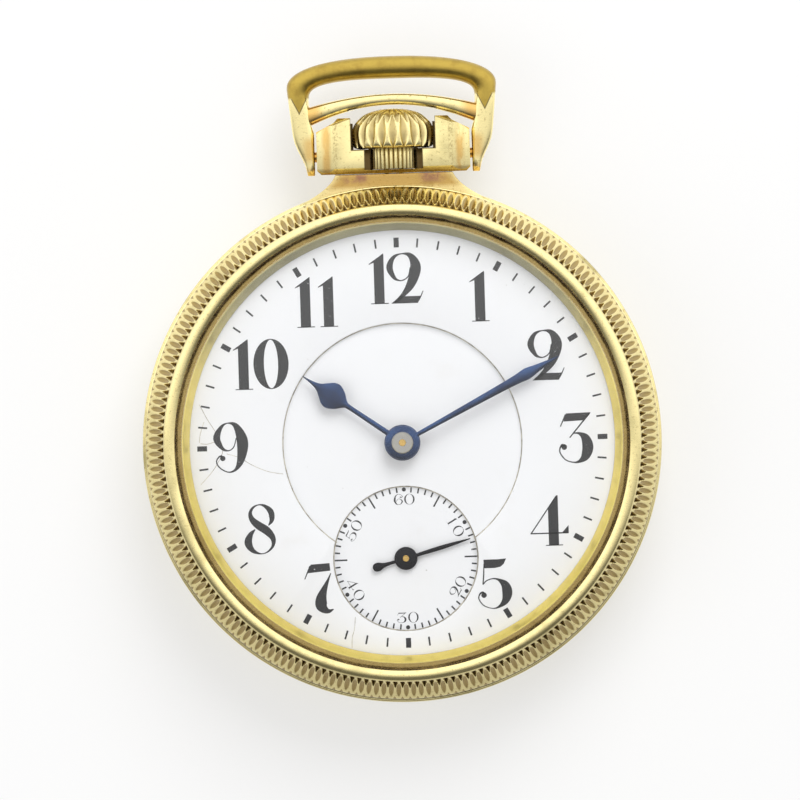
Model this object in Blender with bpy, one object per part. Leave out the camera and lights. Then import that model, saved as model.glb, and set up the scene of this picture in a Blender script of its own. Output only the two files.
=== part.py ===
"""Open face pocket watch: case, dial, hands, winding work and going train, lying face up.

Lengths in this file are millimetres. Each mesh is scaled to metres when its object is made.
The origin is the centre of the flat on the case back. +Z points out of the dial, +Y to the
pendant at twelve o'clock and +X to three o'clock.
"""

import math

import bmesh
import bpy
from mathutils import Matrix, Vector

MM = 0.001
TURN = 2 * math.pi

# Clearances
SEAM = 0.05
RUNNING = 0.05
PRESS = 0.03

# Case, seen from the front as rings from the outside in
CASE_RADIUS = 25.25
LIP_WIDTH = 0.35
BAND_WIDTH = 1.6
RING_WIDTH = 1.4
REHAUT_WIDTH = 1.25
CASE_EDGE = 0.4
DIAL_COVER = 0.45
LEDGE_WIDTH = 0.4

# Radii that follow from the case rings
BEZEL_RADIUS = CASE_RADIUS - LIP_WIDTH
RING_RADIUS = BEZEL_RADIUS - BAND_WIDTH
SEAT_RADIUS = RING_RADIUS - RING_WIDTH
OPENING_RADIUS = SEAT_RADIUS - REHAUT_WIDTH
DIAL_RADIUS = OPENING_RADIUS + DIAL_COVER
THREAD_RADIUS = RING_RADIUS - SEAM - RUNNING
PLATE_RADIUS = OPENING_RADIUS - DIAL_COVER / 2
WALL_RADIUS = PLATE_RADIUS + 4 * SEAM
LEDGE_RADIUS = PLATE_RADIUS - LEDGE_WIDTH

# Share by which the movement is larger or smaller than the plate its sizes are given for
MOVEMENT_RADIUS = 20.425
FIT = PLATE_RADIUS / MOVEMENT_RADIUS

# Case heights
BACK_FLAT_RADIUS = 11.0
BACK_WALL = 0.6
BACK_DOME = 2.75
BACK_HEIGHT = 3.75
CENTER_HEIGHT = 3.4
BEZEL_HEIGHT = 5.0
RING_FALL = 0.84
CRYSTAL_SEAT_DEPTH = 1.05
CRYSTAL_EDGE = 0.6
CRYSTAL_RISE = 1.5
CRYSTAL_WALL = 0.9
THREAD_LENGTH = 0.85
THREAD_WALL = 1.8
LEDGE_THICKNESS = 0.8

# Neck and pendant
NECK_RISE = 0.95
NECK_WIDTH = 11.4
NECK_FLARE = 19.5
NECK_LEAN = 0.3
NECK_THICKNESS = 3.2
STEM_BORE = 1.25
PENDANT_WIDTH = 14.9
PENDANT_THICKNESS = 4.4
PENDANT_HEIGHT = 5.45
PENDANT_BASE = 0.35
PENDANT_BEVEL = 0.55
EAR_SHOULDER = 1.3
CROWN_CAVITY = 8.2
CROWN_SEAT = 2.35
SLEEVE_SLOT = 4.6
SLEEVE_POCKET_WIDTH = 5.6
SLEEVE_POCKET_DEPTH = 0.95
SIDE_FLUTE_WIDTH = 1.7
SIDE_FLUTE_DEPTH = 0.36

# Bow
PIVOT_RISE = 1.8
BOW_WIDTH = 20.4
BOW_HEIGHT = 10.05
BOW_HEAD = 3.1
BOW_BAR = 2.15
BOW_THICKNESS = 2.6
BOW_SQUARENESS = 2.3
BOW_SLOT_HEAD = 1.9
BOW_SLOT_SQUARENESS = 3.0
BOW_EDGE = 0.35
LEG_GAP = 0.2
LEG_DROP = 1.8
LEG_FOOT = 0.75
LEG_TAPER = 0.55
LEG_KNEE = 1.35
CROSSBAR_RADIUS = 4.95
CROSSBAR_HEIGHT = 1.25
CROSSBAR_ARCH = 1.7
CROSSBAR_TOP_ARCH = 1.12
SWING_GAP = 0.2
BOW_PIN_RADIUS = 0.5
BOW_PIN_LENGTH = 2.7

# Crown, stem and winding work
CROWN_RADIUS = 3.95
CROWN_HEIGHT = 3.9
CROWN_FLUTES = 22
CROWN_FLUTE_DEPTH = 0.09
STEM_RADIUS = 1.0
STEM_SQUARE = 0.6
STEM_GRIP = 1.9
STEM_TIP = 0.4
SLEEVE_RADIUS = 2.2
SLEEVE_FLUTES = 20
SLEEVE_FLUTE_DEPTH = 0.25
WINDING_MODULE = 0.26 * FIT
WINDING_PINION_TEETH = 19
CROWN_WHEEL_TEETH = 26
RATCHET_TEETH = 34
WINDING_PINION_LENGTH = 1.1
CLUTCH_LENGTH = 1.6
CLUTCH_RADIUS = 1.2
WINDING_HUB_RADIUS = 0.9
BARREL_CORE_RADIUS = 1.35
CLICK_DISTANCE = 1.6
CLICK_DIRECTION = -20.0
CLICK_RADIUS = 0.85
CLICK_NOSE_GAP = 0.3
CLICK_NOSE_DIRECTION = 8.0
CLICK_NOSE_RADIUS = 0.18
CLICK_SCREW_RADIUS = 0.8
CLICK_SPRING_DISTANCE = 2.4
CLICK_SPRING_DIRECTION = 24.0
CLICK_SPRING_RADIUS = 1.75
CLICK_SPRING_STRIP = 0.25
CLICK_SPRING_ENDS = (30.0, 236.0)
WINDING_WHEEL_THICKNESS = 0.65

# Movement levels
PLATE_ABOVE_STEM = 1.4
PLATE_THICKNESS = 1.2
TRAIN_SPACE = 2.7
BRIDGE_THICKNESS = 0.9
BRIDGE_MARGIN = 0.7
PILLAR_RADIUS = 1.3
PILLAR_INSET = 1.8
SCREW_RADIUS = 0.45
SCREW_HEAD_RADIUS = 1.0
SCREW_HEAD_HEIGHT = 0.35
SCREW_SLOT_DEPTH = 0.14
SCREW_SLOT_SHARE = 0.2
BRIDGE_SEAM = 0.4
WINDOW_GAP = 0.3

# Going train
BARREL_TEETH = 80
CENTER_PINION_LEAVES = 10
CENTER_TEETH = 80
THIRD_PINION_LEAVES = 10
THIRD_TEETH = 75
FOURTH_PINION_LEAVES = 10
FOURTH_TEETH = 80
ESCAPE_PINION_LEAVES = 8
ESCAPE_TEETH = 15
BARREL_MODULE = 0.19 * FIT
CENTER_MODULE = 0.14 * FIT
THIRD_MODULE = 0.15 * FIT
FOURTH_MODULE = 0.13 * FIT
ADDENDUM = 0.7
DEDENDUM = 1.3
SECONDS_OFFSET = 11.25 * FIT
BARREL_DIRECTION = 60.0
ESCAPE_DIRECTION = 150.0
BALANCE_DIRECTION = 190.0
BALANCE_DISTANCE = 12.5 * FIT
WHEEL_THICKNESS = 0.22
ARBOR_RADIUS = 0.35
PIVOT_RADIUS = 0.18
FINE_PIVOT_RADIUS = 0.144
HUB_RADIUS = 1.15
RIM_WIDTH = 0.55
ARM_WIDTH = 0.6
WHEEL_ARMS = 5
ESCAPE_ARMS = 4
ESCAPE_RADIUS = 3.2 * FIT
ESCAPE_RIM_SHARE = 0.62
PALLET_DISTANCE = 4.3 * FIT
PALLET_OPENING = 0.23
PALLET_LEAN = 30.0
PALLET_COCK_REACH = 5.06
PALLET_COCK_TIP = 0.69
PALLET_POST_RADIUS = 0.92
FORK_REACH = 4.7
BALANCE_RADIUS = 7.3 * FIT
BALANCE_RIM = 0.75
BALANCE_SCREWS = 14
BALANCE_RIM_SHARE = 0.95
BALANCE_ARM_ANGLE = 20.0
STAFF_COLLAR_RADIUS = 0.45
SPRING_COLLET_RADIUS = 0.612
ROLLER_RADIUS = 1.5
IMPULSE_PIN_RADIUS = 1.125
HAIRSPRING_RADIUS = 3.4 * FIT
HAIRSPRING_TURNS = 7
HAIRSPRING_STRIP = 0.1
CAP_JEWEL_RADIUS = 0.86
REGULATOR_RADIUS = 1.5
REGULATOR_LENGTH = 5.06
REGULATOR_DIRECTION = 20.0
MAINSPRING_TURNS = 7
MAINSPRING_STRIP = 0.2
BARREL_WALL = 0.5
BARREL_FLOOR = 0.4
BALANCE_THICKNESS = 0.5
ROLLER_THICKNESS = 0.22
HAIRSPRING_SPACE = 0.7
WHEEL_GAP = 0.15
WIDE_WHEEL_GAP = 0.2
SMALL_WHEEL_GAP = 0.12

# Motion work, dial and hands
CANNON_LEAVES = 12
MINUTE_WHEEL_TEETH = 36
MINUTE_PINION_LEAVES = 10
HOUR_WHEEL_TEETH = 40
CANNON_MODULE = 0.17 * FIT
MINUTE_WHEEL_DIRECTION = 150.0
DIAL_THICKNESS = 0.4
DISC_THICKNESS = 0.3
DIAL_ABOVE_PLATE = 1.1
DIAL_STEP = 0.05
CENTER_SINK_RADIUS = 11.65 * FIT
SECONDS_SINK_RADIUS = 7.06 * FIT
SINK_LAP = 0.3
DIAL_FOOT_RADIUS = 0.4
DIAL_FOOT_INSET = 2.4
DIAL_FEET = (75.0, 195.0, 315.0)
HAND_THICKNESS = 0.25
HOUR_HAND_ANGLE = 305.4
MINUTE_HAND_ANGLE = 62.8
SECONDS_HAND_ANGLE = 74.6
HOUR_HAND_LENGTH = 11.65 * FIT
MINUTE_HAND_LENGTH = 17.4 * FIT
SECONDS_HAND_LENGTH = 6.54 * FIT
SECONDS_TAIL = 3.35 * FIT
HOUR_BOSS = 1.75
MINUTE_BOSS = 1.65
SECONDS_BOSS = 1.13
COLLET_RADIUS = 1.05
CANNON_RADIUS = 0.72
HOUR_PIPE_RADIUS = 1.05
HOUR_HAND_RISE = 0.45
MINUTE_HAND_RISE = 0.35
SECONDS_HAND_RISE = 0.2

# Facets of the round forms
CASE_SEGMENTS = 36
PLATE_SEGMENTS = 40
ROUND_SEGMENTS = 12
SMALL_SEGMENTS = 8
PIVOT_SEGMENTS = 6
SPRING_STEPS = 9
NECK_STEPS = 5
DOME_STEPS = 4
BOW_STEPS = 8
BAR_STEPS = 5

# Levels that follow from the heights
CENTER_Z = BACK_HEIGHT + SEAM
CENTER_TOP = CENTER_Z + CENTER_HEIGHT
STEM_Z = CENTER_Z + CENTER_HEIGHT / 2
BEZEL_Z = CENTER_TOP + SEAM
BEZEL_TOP = BEZEL_Z + BEZEL_HEIGHT
CRYSTAL_Z = BEZEL_TOP - CRYSTAL_SEAT_DEPTH
PLATE_Z = STEM_Z + PLATE_ABOVE_STEM
PLATE_TOP = PLATE_Z + PLATE_THICKNESS
BRIDGE_INNER = PLATE_Z - TRAIN_SPACE
BRIDGE_OUTER = BRIDGE_INNER - BRIDGE_THICKNESS
DIAL_Z = PLATE_TOP + DIAL_ABOVE_PLATE
DIAL_TOP = DIAL_Z + DIAL_THICKNESS
CENTER_DISC_Z = DIAL_Z - DIAL_STEP - DISC_THICKNESS
SECONDS_DISC_Z = CENTER_DISC_Z - DIAL_STEP - DISC_THICKNESS
NECK_TOP = CASE_RADIUS + NECK_RISE
PIVOT_Y = NECK_TOP + PIVOT_RISE


# Plane figures: lists of (x, y)
def polar(radius, degrees, center=(0.0, 0.0)):
    angle = math.radians(degrees)
    return (center[0] + radius * math.cos(angle), center[1] + radius * math.sin(angle))


def arc(center, radius, start, end, count):
    """Points from the start angle to the end angle, both included, in degrees."""
    step = (end - start) / (count - 1)
    return [polar(radius, start + step * i, center) for i in range(count)]


def circle(radius, center=(0.0, 0.0), count=SMALL_SEGMENTS):
    return [polar(radius, 360.0 * i / count, center) for i in range(count)]


def gear_loop(teeth, module, center, phase=0.0):
    """Outline of a toothed wheel. The phase is the angle of one tooth in radians."""
    pitch_radius = module * teeth / 2
    tip_radius = pitch_radius + ADDENDUM * module
    root_radius = pitch_radius - DEDENDUM * module
    pitch = TURN / teeth
    points = []
    for i in range(teeth):
        middle = phase + pitch * i
        points.append(polar(tip_radius, math.degrees(middle), center))
        points.append(polar(root_radius, math.degrees(middle + pitch / 2), center))
    return points


def mesh_phase(center_a, teeth_a, phase_a, center_b, teeth_b):
    """Phase of wheel b that puts its gaps opposite the teeth of wheel a."""
    line = math.atan2(center_b[1] - center_a[1], center_b[0] - center_a[0])
    return line + math.pi + math.pi / teeth_b - (phase_a - line) * teeth_a / teeth_b


def crossings(center, rim, arms, phase=0.0):
    """The openings between the arms of a wheel whose rim has this inner radius."""
    loops = []
    for i in range(arms):
        start = phase + 360.0 * i / arms
        end = start + 360.0 / arms
        outer = math.degrees(math.asin(ARM_WIDTH / 2 / rim))
        inner = math.degrees(math.asin(ARM_WIDTH / 2 / HUB_RADIUS))
        loop = arc(center, rim, start + outer, end - outer, 5)
        loop += arc(center, HUB_RADIUS, end - inner, start + inner, 2)
        loops.append(loop)
    return loops


def hull_of_circles(center_a, radius_a, center_b, radius_b, count=7):
    """Outline of a strap round two circles."""
    away = Vector(center_b) - Vector(center_a)
    line = math.degrees(math.atan2(away.y, away.x))
    lean = math.degrees(math.acos((radius_a - radius_b) / away.length))
    tail = arc(center_a, radius_a, line + lean, line + 360.0 - lean, count)
    return tail + arc(center_b, radius_b, line - lean, line + lean, count)


def two_circles(radius, other_radius, joined):
    """A circle about the dial centre joined with, or cut by, a circle about the seconds arbor."""
    center = (0.0, -SECONDS_OFFSET)
    level = -(radius**2 - other_radius**2 + SECONDS_OFFSET**2) / (2 * SECONDS_OFFSET)
    half = math.sqrt(radius**2 - level**2)
    first = math.degrees(math.atan2(level, half))
    second = math.degrees(math.atan2(level + SECONDS_OFFSET, half))
    points = arc((0.0, 0.0), radius, first, 180.0 - first, PLATE_SEGMENTS)
    end = 360.0 + second if joined else second
    return points + arc(center, other_radius, 180.0 - second, end, PLATE_SEGMENTS // 2)[1:-1]


def turned_points(points, degrees, center=(0.0, 0.0)):
    """Points turned clockwise from twelve o'clock about the origin, then moved to the centre."""
    turn = Matrix.Rotation(-math.radians(degrees), 2)
    return [tuple(turn @ Vector(p) + Vector(center)) for p in points]


def hand_loop(boss, blade, tail=()):
    """Outline of a hand that points to twelve: a round boss, then (distance, half width) pairs."""
    right = math.degrees(math.acos(blade[0][1] / boss))
    points = [(half, distance) for distance, half in blade]
    points += [(-half, distance) for distance, half in reversed(blade)]
    if not tail:
        return points + arc((0.0, 0.0), boss, 180.0 - right, 360.0 + right, 13)[1:-1]
    left = math.degrees(math.acos(tail[0][1] / boss))
    points += arc((0.0, 0.0), boss, 180.0 - right, 180.0 + left, 6)[1:-1]
    points += [(-half, -distance) for distance, half in tail]
    points += [(half, -distance) for distance, half in reversed(tail)]
    return points + arc((0.0, 0.0), boss, 360.0 - left, 360.0 + right, 6)[1:-1]


def spiral_strip(center, inner, outer, turns, width, steps_per_turn=SPRING_STEPS):
    """Outline of a flat spiral spring of this strip width, and its least gap between turns."""
    steps = turns * steps_per_turn
    pitch = (outer - inner) / turns

    def edge(offset):
        return [
            polar(inner + pitch * i / steps_per_turn + offset, 360.0 * i / steps_per_turn, center)
            for i in range(steps + 1)
        ]

    return edge(width / 2) + edge(-width / 2)[::-1], pitch - width


# Solids
def contains(loop, point):
    inside = False
    for a, b in zip(loop, loop[1:] + loop[:1]):
        if (a[1] > point[1]) != (b[1] > point[1]):
            inside ^= point[0] < a[0] + (b[0] - a[0]) * (point[1] - a[1]) / (b[1] - a[1])
    return inside


def fill(bm, rings):
    """Faces between closed rings of vertices, by even and odd nesting. A ring is (loop, verts)."""
    depth = [sum(contains(o[0], r[0][0]) for o in rings if o is not r) for r in rings]
    for ring, level in zip(rings, depth):
        if level % 2:
            continue
        group = [ring] + [
            other
            for other, other_level in zip(rings, depth)
            if other_level == level + 1 and contains(ring[0], other[0][0])
        ]
        edges = [
            bm.edges.get((a, b))
            for _, verts in group
            for a, b in zip(verts, verts[1:] + verts[:1])
        ]
        bmesh.ops.triangle_fill(bm, use_beauty=True, edges=edges)


def stack(layers):
    """A solid of extruded layers (bottom, top, loops), each lying on the one before.

    A loop that runs on through two layers is the same list in both.
    """
    bm = bmesh.new()
    below = []
    for bottom, top, loops in layers:
        going_on = {id(loop): verts for loop, verts in below}
        open_rings = [ring for ring in below if all(ring[0] is not loop for loop in loops)]
        above = []
        for loop in loops:
            low = going_on.get(id(loop))
            if low is None:
                low = [bm.verts.new((x, y, bottom)) for x, y in loop]
                open_rings.append((loop, low))
            high = [bm.verts.new((x, y, top)) for x, y in loop]
            for i in range(len(loop)):
                bm.faces.new((low[i - 1], low[i], high[i], high[i - 1]))
            above.append((loop, high))
        fill(bm, open_rings)
        below = above
    fill(bm, below)
    bmesh.ops.recalc_face_normals(bm, faces=bm.faces)
    return bm


def lathe(profile, segments=CASE_SEGMENTS, closed=True):
    """A solid turned about Z from (radius, height) points. An open profile ends on the axis."""
    bm = bmesh.new()
    verts = [bm.verts.new((radius, 0.0, height)) for radius, height in profile]
    pairs = list(zip(verts, verts[1:]))
    if closed:
        pairs.append((verts[-1], verts[0]))
    edges = [bm.edges.new(pair) for pair in pairs]
    bmesh.ops.spin(
        bm, geom=verts + edges, cent=(0, 0, 0), axis=(0, 0, 1), angle=TURN, steps=segments, use_merge=True
    )
    bmesh.ops.remove_doubles(bm, verts=bm.verts, dist=PRESS / 100)
    bmesh.ops.recalc_face_normals(bm, faces=bm.faces)
    return bm


def flute(bm, count, depth_at, least_radius):
    """Presses flutes into a turned solid about Z. depth_at gives the depth share at a height."""
    for vert in bm.verts:
        radius = math.hypot(vert.co.x, vert.co.y)
        if radius > least_radius:
            wave = (1 - math.cos(count * math.atan2(vert.co.y, vert.co.x))) / 2
            shrink = 1 - depth_at(vert.co.z) * wave
            vert.co.x *= shrink
            vert.co.y *= shrink


ALONG_STEM = Matrix.Translation((0, 0, STEM_Z)) @ Matrix.Rotation(-math.pi / 2, 4, "X")
ACROSS_STEM = Matrix.Translation((0, 0, STEM_Z)) @ Matrix.Rotation(math.pi / 2, 4, "Y")
ALONG_BOW_PIN = Matrix.Translation((0, PIVOT_Y, STEM_Z)) @ Matrix.Rotation(math.pi / 2, 4, "Y")


def material(name, colour, metallic, roughness):
    made = bpy.data.materials.new(name)
    made.use_nodes = True
    shader = made.node_tree.nodes["Principled BSDF"]
    shader.inputs["Base Color"].default_value = (*colour, 1)
    shader.inputs["Metallic"].default_value = metallic
    shader.inputs["Roughness"].default_value = roughness
    made.diffuse_color = (*colour, 1)
    return made


# Finishes: colour, metallic, roughness
GOLD = ((0.72, 0.56, 0.27), 1, 0.22)
BRASS = ((0.66, 0.48, 0.2), 1, 0.3)
STEEL = ((0.55, 0.55, 0.56), 1, 0.28)
BLUED = ((0.02, 0.05, 0.16), 1, 0.2)
NICKEL = ((0.62, 0.6, 0.56), 1, 0.32)
ENAMEL = ((0.86, 0.86, 0.85), 0, 0.12)
GLASS = ((0.8, 0.85, 0.86), 0, 0.02)
RUBY = ((0.4, 0.02, 0.06), 0, 0.1)
COPPER = ((0.6, 0.3, 0.17), 1, 0.35)


def piece(name, bm, finish, origin=(0.0, 0.0, 0.0), matrix=None):
    """One named object. The origin is a point on the axis that the piece turns about."""
    if matrix is not None:
        bmesh.ops.transform(bm, matrix=matrix, verts=bm.verts)
    bmesh.ops.translate(bm, vec=-Vector(origin), verts=bm.verts)
    bmesh.ops.scale(bm, vec=(MM, MM, MM), verts=bm.verts)
    mesh = bpy.data.meshes.new(name)
    bm.to_mesh(mesh)
    bm.free()
    mesh.shade_smooth()
    mesh.set_sharp_from_angle(angle=math.radians(32))
    mesh.materials.append(material(name, *finish))
    obj = bpy.data.objects.new(name, mesh)
    obj.location = Vector(origin) * MM
    bpy.context.scene.collection.objects.link(obj)
    return obj


def combine(obj, tool, operation="DIFFERENCE"):
    """A live Boolean with a hidden helper object."""
    tool.hide_render = True
    tool.display_type = "WIRE"
    boolean = obj.modifiers.new(tool.name, "BOOLEAN")
    boolean.operation = operation
    boolean.solver = "EXACT"
    boolean.object = tool


def rod(start, end, radius, count=16):
    return stack([(start, end, [circle(radius, count=count)])])


# Where the arbors stand
CENTER = (0.0, 0.0)
FOURTH = (0.0, -SECONDS_OFFSET)
BARREL = polar(BARREL_MODULE * (BARREL_TEETH + CENTER_PINION_LEAVES) / 2, BARREL_DIRECTION)
CENTER_TO_THIRD = CENTER_MODULE * (CENTER_TEETH + THIRD_PINION_LEAVES) / 2
THIRD_TO_FOURTH = THIRD_MODULE * (THIRD_TEETH + FOURTH_PINION_LEAVES) / 2
THIRD_Y = -(CENTER_TO_THIRD**2 - THIRD_TO_FOURTH**2 + SECONDS_OFFSET**2) / (2 * SECONDS_OFFSET)
THIRD = (math.sqrt(CENTER_TO_THIRD**2 - THIRD_Y**2), THIRD_Y)
ESCAPE = polar(FOURTH_MODULE * (FOURTH_TEETH + ESCAPE_PINION_LEAVES) / 2, ESCAPE_DIRECTION, FOURTH)
BALANCE = polar(BALANCE_DISTANCE, BALANCE_DIRECTION)
TO_BALANCE = (Vector(BALANCE) - Vector(ESCAPE)).normalized()
PALLET = tuple(Vector(ESCAPE) + TO_BALANCE * PALLET_DISTANCE)
RATCHET_TO_CROWN_WHEEL = WINDING_MODULE * (RATCHET_TEETH + CROWN_WHEEL_TEETH) / 2
CROWN_WHEEL = (0.0, BARREL[1] + math.sqrt(RATCHET_TO_CROWN_WHEEL**2 - BARREL[0] ** 2))
CROWN_WHEEL_RIM = CROWN_WHEEL[1] + WINDING_MODULE * CROWN_WHEEL_TEETH / 2
WINDING_PINION_Y = CROWN_WHEEL_RIM + 2 * RUNNING
MOTION_DISTANCE = CANNON_MODULE * (CANNON_LEAVES + MINUTE_WHEEL_TEETH) / 2
MINUTE_WHEEL = polar(MOTION_DISTANCE, MINUTE_WHEEL_DIRECTION)
HOUR_MODULE = 2 * MOTION_DISTANCE / (MINUTE_PINION_LEAVES + HOUR_WHEEL_TEETH)

# Levels of the wheels, counted from the inner face of the bridges
CENTER_WHEEL_Z = BRIDGE_INNER + WHEEL_GAP
THIRD_WHEEL_Z = CENTER_WHEEL_Z + WHEEL_THICKNESS + WIDE_WHEEL_GAP
BARREL_Z = THIRD_WHEEL_Z + WHEEL_THICKNESS + SMALL_WHEEL_GAP
BARREL_TOP = PLATE_Z - WIDE_WHEEL_GAP
BALANCE_Z = BRIDGE_INNER + HAIRSPRING_SPACE
ROLLER_Z = BALANCE_Z + BALANCE_THICKNESS + WHEEL_GAP
ESCAPE_WHEEL_Z = ROLLER_Z + ROLLER_THICKNESS + WIDE_WHEEL_GAP
FOURTH_WHEEL_Z = ESCAPE_WHEEL_Z + WHEEL_THICKNESS + SMALL_WHEEL_GAP
WINDING_WHEEL_Z = BRIDGE_OUTER - 2 * SEAM - WINDING_WHEEL_THICKNESS
MINUTE_WHEEL_Z = PLATE_TOP + 2 * SEAM
HOUR_WHEEL_Z = MINUTE_WHEEL_Z + WHEEL_THICKNESS + SMALL_WHEEL_GAP
HOUR_HAND_Z = DIAL_TOP + HOUR_HAND_RISE
MINUTE_HAND_Z = HOUR_HAND_Z + HAND_THICKNESS + MINUTE_HAND_RISE
SECONDS_HAND_Z = CENTER_DISC_Z + SECONDS_HAND_RISE

BARREL_PILLARS = (10.0, 62.0, 118.0)
TRAIN_PILLARS = (-18.0, -62.0, -112.0)
COCK_PILLAR = 163.0
CASE_SCREWS = (36.0, 216.0)
BARREL_BRIDGE_END = 128.0
TRAIN_BRIDGE_START = -122.0
TRAIN_BRIDGE_END = -2.0
BALANCE_OPENING = (10.0, -75.0)


def pillar(degrees):
    return polar(PLATE_RADIUS - PILLAR_INSET, degrees)


# Case
def case_center():
    edge = CASE_EDGE
    ledge_top = PLATE_Z - SEAM
    top = DIAL_Z - DIAL_COVER / 2
    inner = THREAD_RADIUS - THREAD_WALL
    profile = [
        (LEDGE_RADIUS, ledge_top - LEDGE_THICKNESS),
        (LEDGE_RADIUS, ledge_top),
        (WALL_RADIUS, ledge_top),
        (WALL_RADIUS, top),
        (THREAD_RADIUS, top),
        (THREAD_RADIUS, CENTER_TOP),
        (CASE_RADIUS - edge / 2, CENTER_TOP),
        (CASE_RADIUS, CENTER_TOP - edge),
        (CASE_RADIUS, CENTER_Z + edge),
        (CASE_RADIUS - edge / 2, CENTER_Z),
        (THREAD_RADIUS, CENTER_Z),
        (THREAD_RADIUS, CENTER_Z - THREAD_LENGTH),
        (inner, CENTER_Z - THREAD_LENGTH),
        (inner, ledge_top - LEDGE_THICKNESS),
    ]
    center = piece("case_center", lathe(profile), GOLD)
    root = THREAD_RADIUS - SEAM
    rise = NECK_TOP - root
    flare = (NECK_FLARE - NECK_WIDTH) / 2
    shares = [i / NECK_STEPS for i in range(NECK_STEPS, -1, -1)]
    side = [
        (NECK_WIDTH / 2 + flare * (NECK_LEAN * s + (1 - NECK_LEAN) * s**2), NECK_TOP - rise * s)
        for s in shares
    ]
    foot = (NECK_FLARE / 2, root - SEAM)
    outline = [foot, *side]
    outline += [(-x, y) for x, y in reversed(outline)]
    low, high = STEM_Z - NECK_THICKNESS / 2, STEM_Z + NECK_THICKNESS / 2
    combine(center, piece("neck", stack([(low, high, [outline])]), GOLD), "UNION")
    bore = rod(LEDGE_RADIUS - LIP_WIDTH, NECK_TOP + LIP_WIDTH, STEM_BORE)
    combine(center, piece("neck_bore", bore, GOLD, matrix=ALONG_STEM))


def bezel():
    crest = RING_RADIUS - RING_WIDTH / 2
    top = DIAL_Z - DIAL_COVER / 2 + 2 * SEAM
    rehaut_foot = DIAL_TOP + 2 * SEAM
    profile = [
        (OPENING_RADIUS, rehaut_foot),
        (SEAT_RADIUS - REHAUT_WIDTH / 2, CRYSTAL_Z),
        (SEAT_RADIUS, CRYSTAL_Z),
        (SEAT_RADIUS, BEZEL_TOP - CRYSTAL_SEAT_DEPTH / 3),
        (crest, BEZEL_TOP),
        (RING_RADIUS, BEZEL_TOP - RING_FALL),
        (BEZEL_RADIUS - BAND_WIDTH / 4, BEZEL_Z + BEZEL_HEIGHT / 2),
        (BEZEL_RADIUS, BEZEL_Z + BEZEL_HEIGHT / 3),
        (BEZEL_RADIUS, BEZEL_Z),
        (RING_RADIUS, BEZEL_Z),
        (RING_RADIUS, top),
        (DIAL_RADIUS + DIAL_COVER, top),
        (DIAL_RADIUS + DIAL_COVER, rehaut_foot),
    ]
    piece("bezel", lathe(profile), GOLD)


def crystal():
    radius = SEAT_RADIUS - SEAM
    foot = CRYSTAL_Z + SEAM
    rim = foot + CRYSTAL_EDGE
    inner_radius = radius - CRYSTAL_WALL
    steps = DOME_STEPS

    def dome(reach, base, rise):
        return [
            (reach * i / steps, base + rise * (1 - (i / steps) ** 2)) for i in range(steps + 1)
        ]

    inner_rise = rim + CRYSTAL_RISE - CRYSTAL_WALL - foot
    profile = dome(inner_radius, foot, inner_rise) + [(radius, foot)]
    profile += dome(radius, rim, CRYSTAL_RISE)[::-1]
    piece("crystal", lathe(profile, closed=False), GLASS)


def case_back():
    steps = DOME_STEPS
    reach = BEZEL_RADIUS - CASE_EDGE

    def dome(i):
        share = i / steps
        return BACK_FLAT_RADIUS + (reach - BACK_FLAT_RADIUS) * share, BACK_DOME * share**2

    outer = [(0.0, 0.0)] + [dome(i) for i in range(steps + 1)]
    outer += [(BEZEL_RADIUS, BACK_DOME + CASE_EDGE), (BEZEL_RADIUS, BACK_HEIGHT)]
    inner = [(r, z + BACK_WALL) for r, z in (dome(i) for i in range(steps))]
    inner.append((0.0, BACK_WALL))
    inner.sort(reverse=True)
    skirt = [(RING_RADIUS, BACK_HEIGHT), (RING_RADIUS, CENTER_Z - THREAD_LENGTH - SEAM)]
    piece("case_back", lathe(outer + skirt + inner, closed=False), GOLD)


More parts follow.
